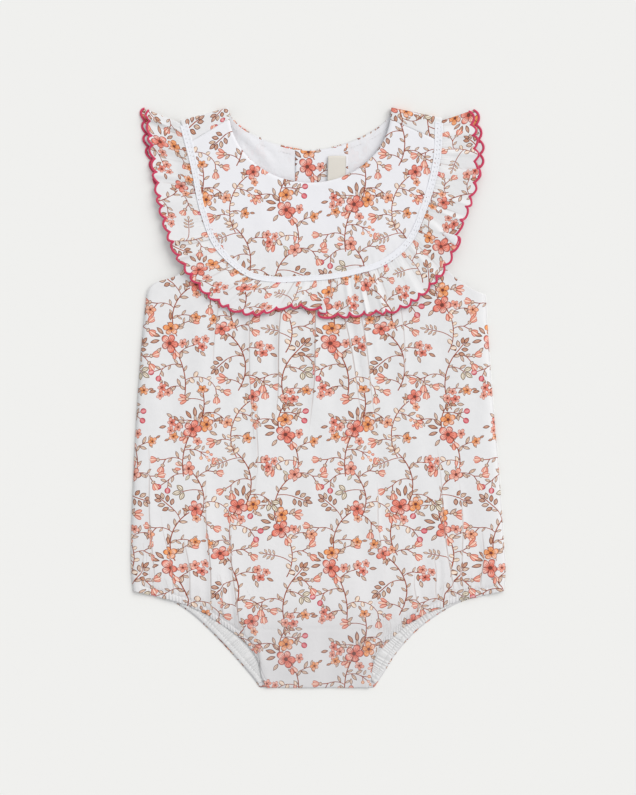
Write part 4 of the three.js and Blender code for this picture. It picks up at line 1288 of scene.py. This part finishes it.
def flounce_points(u, t):
    """The flounce from its seam, t = 0, to its edge, t = 1. Waves of unequal width lift it, more
    towards the edge, fine gathers leave the seam and die out two thirds of the way, and at a tuck
    the edge slides back under itself by slide times a exp(-a^2)."""
    u, t = u[None, :], t[:, None]
    s = np.interp(u[0] * EDGE_LENGTH, edge_run, np.linspace(0, 1, len(edge_run)))
    seam, edge = at_share(seam_line, s), at_share(edge_line, s)
    outward = unit(edge - seam)
    tangent = unit(np.gradient(edge, axis=0))
    reach = apart(edge, seam) - UNDER_SEAM + scallop(u[0], SCALLOPS)
    phase = uneven_phase(u, FLOUNCE_WAVES, FLOUNCE_DRIFTS)
    swell = 0.75 + 0.25 * np.sin(2 * np.pi * 5.3 * u + 0.6)
    wave = swell_of(phase + 0.75 * np.cos(phase))
    lifted = mix(FLOUNCE_SEAM_WAVE, FLOUNCE_EDGE_WAVE, t) * ease(t, -0.1, 0.2) * swell * wave
    fine = swell_of(uneven_phase(u, FLOUNCE_GATHERS, [(7, 0.5), (15, 0.3)]))
    reach_of_gather = 0.4 + 0.25 * np.sin(2 * np.pi * 12.7 * u)
    gathers = FLOUNCE_GATHER_HEIGHT * fine * ease(t, 0, 0.12) * ridge(t, reach_of_gather)
    rest = at_share(rest_line, s)[None, :, 1] + FLOUNCE_CLEARANCE
    base = mix(FLOUNCE_TOP_AT_SEAM, rest, ease(t, 0, 0.45))
    plan = seam + outward * (UNDER_SEAM + reach * t)[..., None]
    plan = plan + tangent * (FLOUNCE_LEAN * t * np.sin(phase))[..., None]
    height = base + lifted + gathers
    dense_shares = np.linspace(0, 1, 801)
    dense = at_length(edge_line, dense_shares)
    for x, y, slide, half_width, set_out in FLOUNCE_TUCKS:
        middle = dense_shares[apart(dense, [x, y]).argmin()]
        away = (u - middle) * EDGE_LENGTH / half_width
        moved = -slide * away * ridge(away, 1) * ease(t, 0.3, 1)
        step = set_out * np.tanh(2 * away) * ridge(away, 3) * ease(t, 0.2, 1)
        plan = plan + tangent * moved[..., None] + outward * step[..., None]
        lap = 0.9 * (0.5 - 0.5 * np.tanh(2.7 * away)) * ridge(away, 2.4)
        height = height + lap * ease(t, 0.15, 0.9)
    return lift(plan, height)


def flounce_creases(u, t):
    """Distance from the nearest crease, one at the foot of each wave's steep flank, and its strength,
    which dies out towards the edge."""
    phase = uneven_phase(u, FLOUNCE_WAVES, FLOUNCE_DRIFTS) + 0.5 + np.pi
    aside = (phase % (2 * np.pi) - np.pi) / (2 * np.pi) * EDGE_LENGTH / FLOUNCE_WAVES
    strength = 0.55 + 0.45 * np.sin(9.0 * np.floor(phase / (2 * np.pi)))
    return grid(aside, strength * (1 - ease(t, 0.35, 1))[:, None], 0.0)


def back_flounce_points(u, t, right):
    """The flounce's end behind a shoulder: a little wider than the front, with low waves."""
    s = BACK_FLOUNCE_SHARE * u
    s = 1 - s if right else s
    seam, edge = at_share(seam_line, s), at_share(edge_line, s)
    width = apart(edge, seam) + BACK_FLOUNCE_OVERHANG * (1 - ease(u, 0.4, 1))
    reach = width - UNDER_SEAM + scallop(u, BACK_FLOUNCE_SCALLOPS)
    plan = seam + unit(edge - seam) * (UNDER_SEAM + reach * t[:, None])[..., None]
    wave = (1 - np.cos(2 * np.pi * 3.5 * u)) * t[:, None]
    return lift(plan, BACK_FLOUNCE_REST + BACK_FLOUNCE_WAVE * wave)


us, t = np.linspace(0, 1, SCALLOPS * SCALLOP_COLUMNS + 1), np.linspace(0, 1, FLOUNCE_ROWS)
flounce_face = flounce_points(us, t)
outwards = apart(flounce_face[..., :2], flounce_face[:1, :, :2])
flounce_run = arc_run(flounce_face[[FLOUNCE_MIDDLE]])[0]
flat = grid(FLOUNCE_FULLNESS * flounce_run, FLOUNCE_FROM - FLOUNCE_LENGTHENED * outwards)
ruffle_front = cloth_wall(
    "ruffle_front_cloth", flounce_face, flat, COTTON,
    hem=grid(flounce_run, outwards, 0.3), crease=flounce_creases(us, t),
)
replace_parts(ruffle_front, "ruffle_front")
for side in ("left", "right"):
    face = back_flounce_points(np.linspace(0, 1, BACK_FLOUNCE_COLUMNS), t, side == "right")
    outwards = apart(face[..., :2], face[:1, :, :2])
    flat = grid(BACK_FLOUNCE_FULLNESS * arc_run(face[[FLOUNCE_MIDDLE]])[0], BACK_FLOUNCE_FROM - outwards)
    made = cloth_wall(f"ruffle_back_{side}_cloth", face, flat, COTTON)
    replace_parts(made, f"ruffle_back_{side}")

# The scalloped edges' thread: close whipping stitches of raspberry cotton over the raw edge.
THREAD_WIDTH, THREAD_HEIGHT, THREAD_SIDES, THREAD_COLUMNS = 1.85, 1.0, 8, 30
THREAD_DARK, THREAD_PALE, STITCH_PITCH = (214, 32, 82), (242, 84, 124), 0.62
BACK_THREAD_RAISED = 0.25


def edge_thread():
    """Raspberry thread: each stitch is a ridge across the edge, painted paler on its crest as a highlight,
    with a random mottle.
    """
    material, tree, shader = start_material("edge_thread", 0.55, 0.35)
    place = node(tree, "ShaderNodeUVMap", uv_map="cloth").outputs["UV"]
    stitch = (parts_of(tree, place)[0] * (2 * np.pi * 10 / STITCH_PITCH)).sine()
    # Painted highlight on each stitch's crest, plus a random mottle
    pale = (0.5 + 0.5 * stitch) * 0.45 + noise(tree, place, 5.0, 2.0) * 0.3
    colour = blend(tree, pale, linear(*THREAD_DARK), linear(*THREAD_PALE))
    finish_material(tree, shader, colour, stitch * 0.5, strength=0.8, distance=0.35)
    return material


def thread_along(name, path):
    """A closed tube whose middle lies half a cloth under the path. Its section is an ellipse that lies
    flat: middle + across cos(angle) w/2 + up sin(angle) h/2."""
    across = unit(np.cross(unit(np.gradient(path, axis=0)), [0, 0, 1]))
    angle = 2 * np.pi * np.arange(THREAD_SIDES) / THREAD_SIDES
    points = path[:, None] + across[:, None] * (np.cos(angle) * THREAD_WIDTH / 2)[:, None]
    points[..., 2] += np.sin(angle) * THREAD_HEIGHT / 2 - CLOTH / 2
    index = np.arange(len(path) * THREAD_SIDES).reshape(len(path), THREAD_SIDES)
    beside = np.roll(index, -1, axis=1)
    quads = np.stack([index[:-1], index[1:], beside[1:], beside[:-1]], -1).reshape(-1, 4)
    faces = quads.tolist() + [index[0].tolist(), index[-1, ::-1].tolist()]
    flat = grid(running_length(path)[:, None], np.arange(THREAD_SIDES) / THREAD_SIDES).reshape(-1, 2)
    made = add_piece(name, points, faces, flat[np.concatenate(faces)], THREAD)
    return made


THREAD = edge_thread()
rim = np.array([1.0])
rim_us = np.linspace(0, 1, SCALLOPS * THREAD_COLUMNS + 1)
front_thread = thread_along("flounce_thread", flounce_points(rim_us, rim)[0])
rim_us = np.linspace(0, 1, BACK_FLOUNCE_SCALLOPS * THREAD_COLUMNS + 1)
for side in ("left", "right"):
    path = back_flounce_points(rim_us, rim, side == "right")[0]
    thread_along(f"back_flounce_thread_{side}", path + np.array([0, 0, BACK_THREAD_RAISED]))

# The lace: a narrow white cotton edging laid over the yoke seam. It has single and paired eyelets where
# it is widest, at the shoulders, and is plain and firm where it narrows at the centre front.
LACE_SHOULDER_WIDTH, LACE_CENTRE_WIDTH, LACE_OVER_FLOUNCE, LACE_TOP = 5.9, 4.0, 1.0, 5.36
LACE_COLUMNS, LACE_ROWS, LACE_THICKNESS = 860, 13, 0.4
PICOT_PITCH, PICOT_REACH, KNOT_PITCH, KNOT_HEIGHT, CORD_HEIGHT = 1.9, 0.28, 0.9, 0.05, 0.22
EYELET_PITCH, SINGLE_ROW, PAIR_ROWS = 3.3, 3, (7, 8)
LACE_THREADS, LACE_WHITE, LACE_GAP_SHADE = 26, (245, 246, 251), (214, 218, 228)


def lace_cotton():
    """White cotton, knotted and twisted: fine ridges both ways, and painted shade in the gaps between its
    threads.
    """
    material, tree, shader = start_material("lace", 0.8, 0.2)
    _, height, gaps = woven(tree, LACE_THREADS)
    colour = blend(tree, gaps * 0.25, linear(*LACE_WHITE), linear(*LACE_GAP_SHADE))
    finish_material(tree, shader, colour, height * 0.35, strength=0.7, distance=0.25)
    return material


s = np.linspace(0.004, 0.996, LACE_COLUMNS)
t = np.linspace(0, 1, LACE_ROWS)[:, None]
lace_seam = at_share(seam_line, s)
inward = unit(front_neck(s) - lace_seam)
broad = 1 - ease(np.sin(np.pi * s), 0.5, 1)
lace_width = mix(LACE_CENTRE_WIDTH, LACE_SHOULDER_WIDTH, broad)
lace_run = running_length(lace_seam)
picot = PICOT_REACH * np.abs(np.sin(np.pi * lace_run / PICOT_PITCH)) * np.abs(2 * t - 1) ** 6
inward_by = (lace_width * t - LACE_OVER_FLOUNCE) + picot * np.sign(t - 0.5)
lace_plan = lace_seam + inward * inward_by[..., None]
cord = CORD_HEIGHT * (ridge(t - 0.10, 0.05) + ridge(t - 0.90, 0.05))
lace_z = LACE_TOP + cord + KNOT_HEIGHT * np.cos(2 * np.pi * lace_run / KNOT_PITCH)
row = np.arange(LACE_ROWS - 1)[:, None]
place_in_repeat = lace_run[:-1] / EYELET_PITCH % 1
single = (row == SINGLE_ROW) & (place_in_repeat < 0.17)
pair = np.isin(row, PAIR_ROWS) & (np.abs(place_in_repeat - 0.60) < 0.07)
eyelet = (single | pair & (broad[:-1] > 0.6)) & (broad[:-1] > 0.25)
quads = grid_quads(LACE_ROWS, LACE_COLUMNS)[~eyelet]
lace_flat = grid(lace_run, lace_width * t).reshape(-1, 2)
lace = add_piece("lace_trim_cloth", lift(lace_plan, lace_z), quads, lace_flat[quads], lace_cotton())
wall = lace.modifiers.new("wall", "SOLIDIFY")
wall.thickness, wall.offset = LACE_THICKNESS * MM, -1
smooth = lace.modifiers.new("smooth", "SUBSURF")
smooth.levels = smooth.render_levels = 1
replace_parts(lace, "lace_trim")

# The stitching: white thread in short straight stitches round the inside of the back neck and along the
# leg hems, the casings and the crotch line.
STITCH_LENGTH, STITCH_GAP, STITCH_WIDTH, STITCH_HEIGHT = 1.7, 0.7, 0.42, 0.24
HEMS_FROM, CROTCH_FROM, CROTCH_TO = 42, 12, 54  # how far from the middle the front's stitches show
STITCH_LINE_POINTS = 200


def stitch_ends(path):
    """The ends of stitches at even steps along a path."""
    run = running_length(path)
    middles = np.arange(STITCH_LENGTH, run[-1] - STITCH_LENGTH, STITCH_LENGTH + STITCH_GAP)
    return [between(path, run, middles + way * STITCH_LENGTH / 2) for way in (-1, 1)]


def row_at(points, distance, wanted):
    """The point of each column where a distance that grows with the rows has the wanted value."""
    columns, after = np.arange(points.shape[1]), (distance < wanted).argmin(axis=0)
    low, high = distance[after - 1, columns], distance[after, columns]
    share = ((wanted - low) / (high - low))[:, None]
    return points[after - 1, columns] * (1 - share) + points[after, columns] * share


hem_line = row_at(front_face, from_foot, LEG_HEM_LINE)
crotch = row_at(front_face, front_y - front_y[:1], CROTCH_LINE - FOOT_Y)
stitched = [hem_line[hem_line[:, 0] < -HEMS_FROM][4:], hem_line[hem_line[:, 0] > HEMS_FROM][:-4]]
for side in (-1, 1):
    aside = side * crotch[:, 0]
    stitched.append(crotch[(aside > CROTCH_FROM) & (aside < CROTCH_TO)])
shares = np.linspace(CASING_FROM + 0.03, CASING_TO - 0.02, STITCH_LINE_POINTS)
for leg, side in ((BACK_LEG_LEFT, 1), (BACK_LEG_RIGHT, -1)):
    base, inward = leg_line(leg, shares, side)
    stitched.append(lift(base + inward * (CASING_SET_IN + CASING_STITCH), CASING_TOP + 0.22))
s = np.linspace(0.06, 0.94, STITCH_LINE_POINTS)
neck = back_neck(s)
line = neck + unit(at_share(seam_line, s) - neck) * (FACING_WIDTH - 0.6)
facing = lift(line, BACK_REST + FACING_STEP + CLOTH + 0.12)
stitched += [facing[line[:, 0] < PLACKET_LEFT - 1], facing[line[:, 0] > PLACKET_RIGHT + 1]]
behind, ahead = (np.concatenate(ends) for ends in zip(*(stitch_ends(path) for path in stitched)))
across = unit(np.cross(unit(ahead - behind), [0, 0, 1])) * STITCH_WIDTH / 2
middle, up = (ahead + behind) / 2, np.array([0, 0, STITCH_HEIGHT])
corners = np.stack([behind, middle + across, ahead, middle - across, middle + up, middle - up], 1)
sides = np.array([[0, 1, 4], [1, 2, 4], [2, 3, 4], [3, 0, 4], [1, 0, 5], [2, 1, 5], [3, 2, 5], [0, 3, 5]])
faces = (sides[None] + 6 * np.arange(len(corners))[:, None, None]).reshape(-1, 3)
flat = np.tile([[0, 0], [10, 0], [10, 10]], (len(faces), 1))  # each face shows the same piece of weave
stitches = add_piece("white_stitches", corners, faces, flat, PLAIN)

# The setting: a pale floor under the garment, soft light from the upper right of the picture, and the
# camera straight above.
PAPER_WHITE, FLOOR_REACH = (240, 240, 238), 3  # metres
CAMERA_AT, LENS, SENSOR = (-0.0003, 0.0007, 1.383), 85, 36  # metres, then millimetres
SUN_COLOUR, SUN_STRENGTH, SUN_SPREAD = (1.0, 0.985, 0.965), 1.6, 45.0
SUN_FROM = np.array([0.62, 0.50, 0.72])
FILL_COLOUR, FILL_STRENGTH = (0.962, 0.967, 0.977), 0.685
paper, _, shader = start_material("paper", 0.9, 0.0, specular=0.1)
shader.inputs["Base Color"].default_value = linear(*PAPER_WHITE)
corners = [(x * FLOOR_REACH, y * FLOOR_REACH, 0) for x, y in ((-1, -1), (1, -1), (1, 1), (-1, 1))]
floor_mesh = bpy.data.meshes.new("floor")
floor_mesh.from_pydata(corners, [], [(0, 1, 2, 3)])
floor_mesh.materials.append(paper)
floor = add_object("floor", floor_mesh)

sun = bpy.data.lights.new("sun", "SUN")
sun.color, sun.energy, sun.angle = SUN_COLOUR, SUN_STRENGTH, np.radians(SUN_SPREAD)
add_object("sun", sun).rotation_euler = Vector(SUN_FROM).to_track_quat("Z", "Y").to_euler()

world = bpy.data.worlds.new("fill")
world.use_nodes = True
background = world.node_tree.nodes["Background"]
background.inputs["Color"].default_value = (*FILL_COLOUR, 1)
background.inputs["Strength"].default_value = FILL_STRENGTH
bpy.context.scene.world = world

lens = bpy.data.cameras.new("camera")
lens.lens, lens.sensor_width = LENS, SENSOR
camera = add_object("camera", lens)
camera.location = CAMERA_AT
bpy.context.scene.camera = camera
bpy.context.scene.view_settings.view_transform = "Standard"
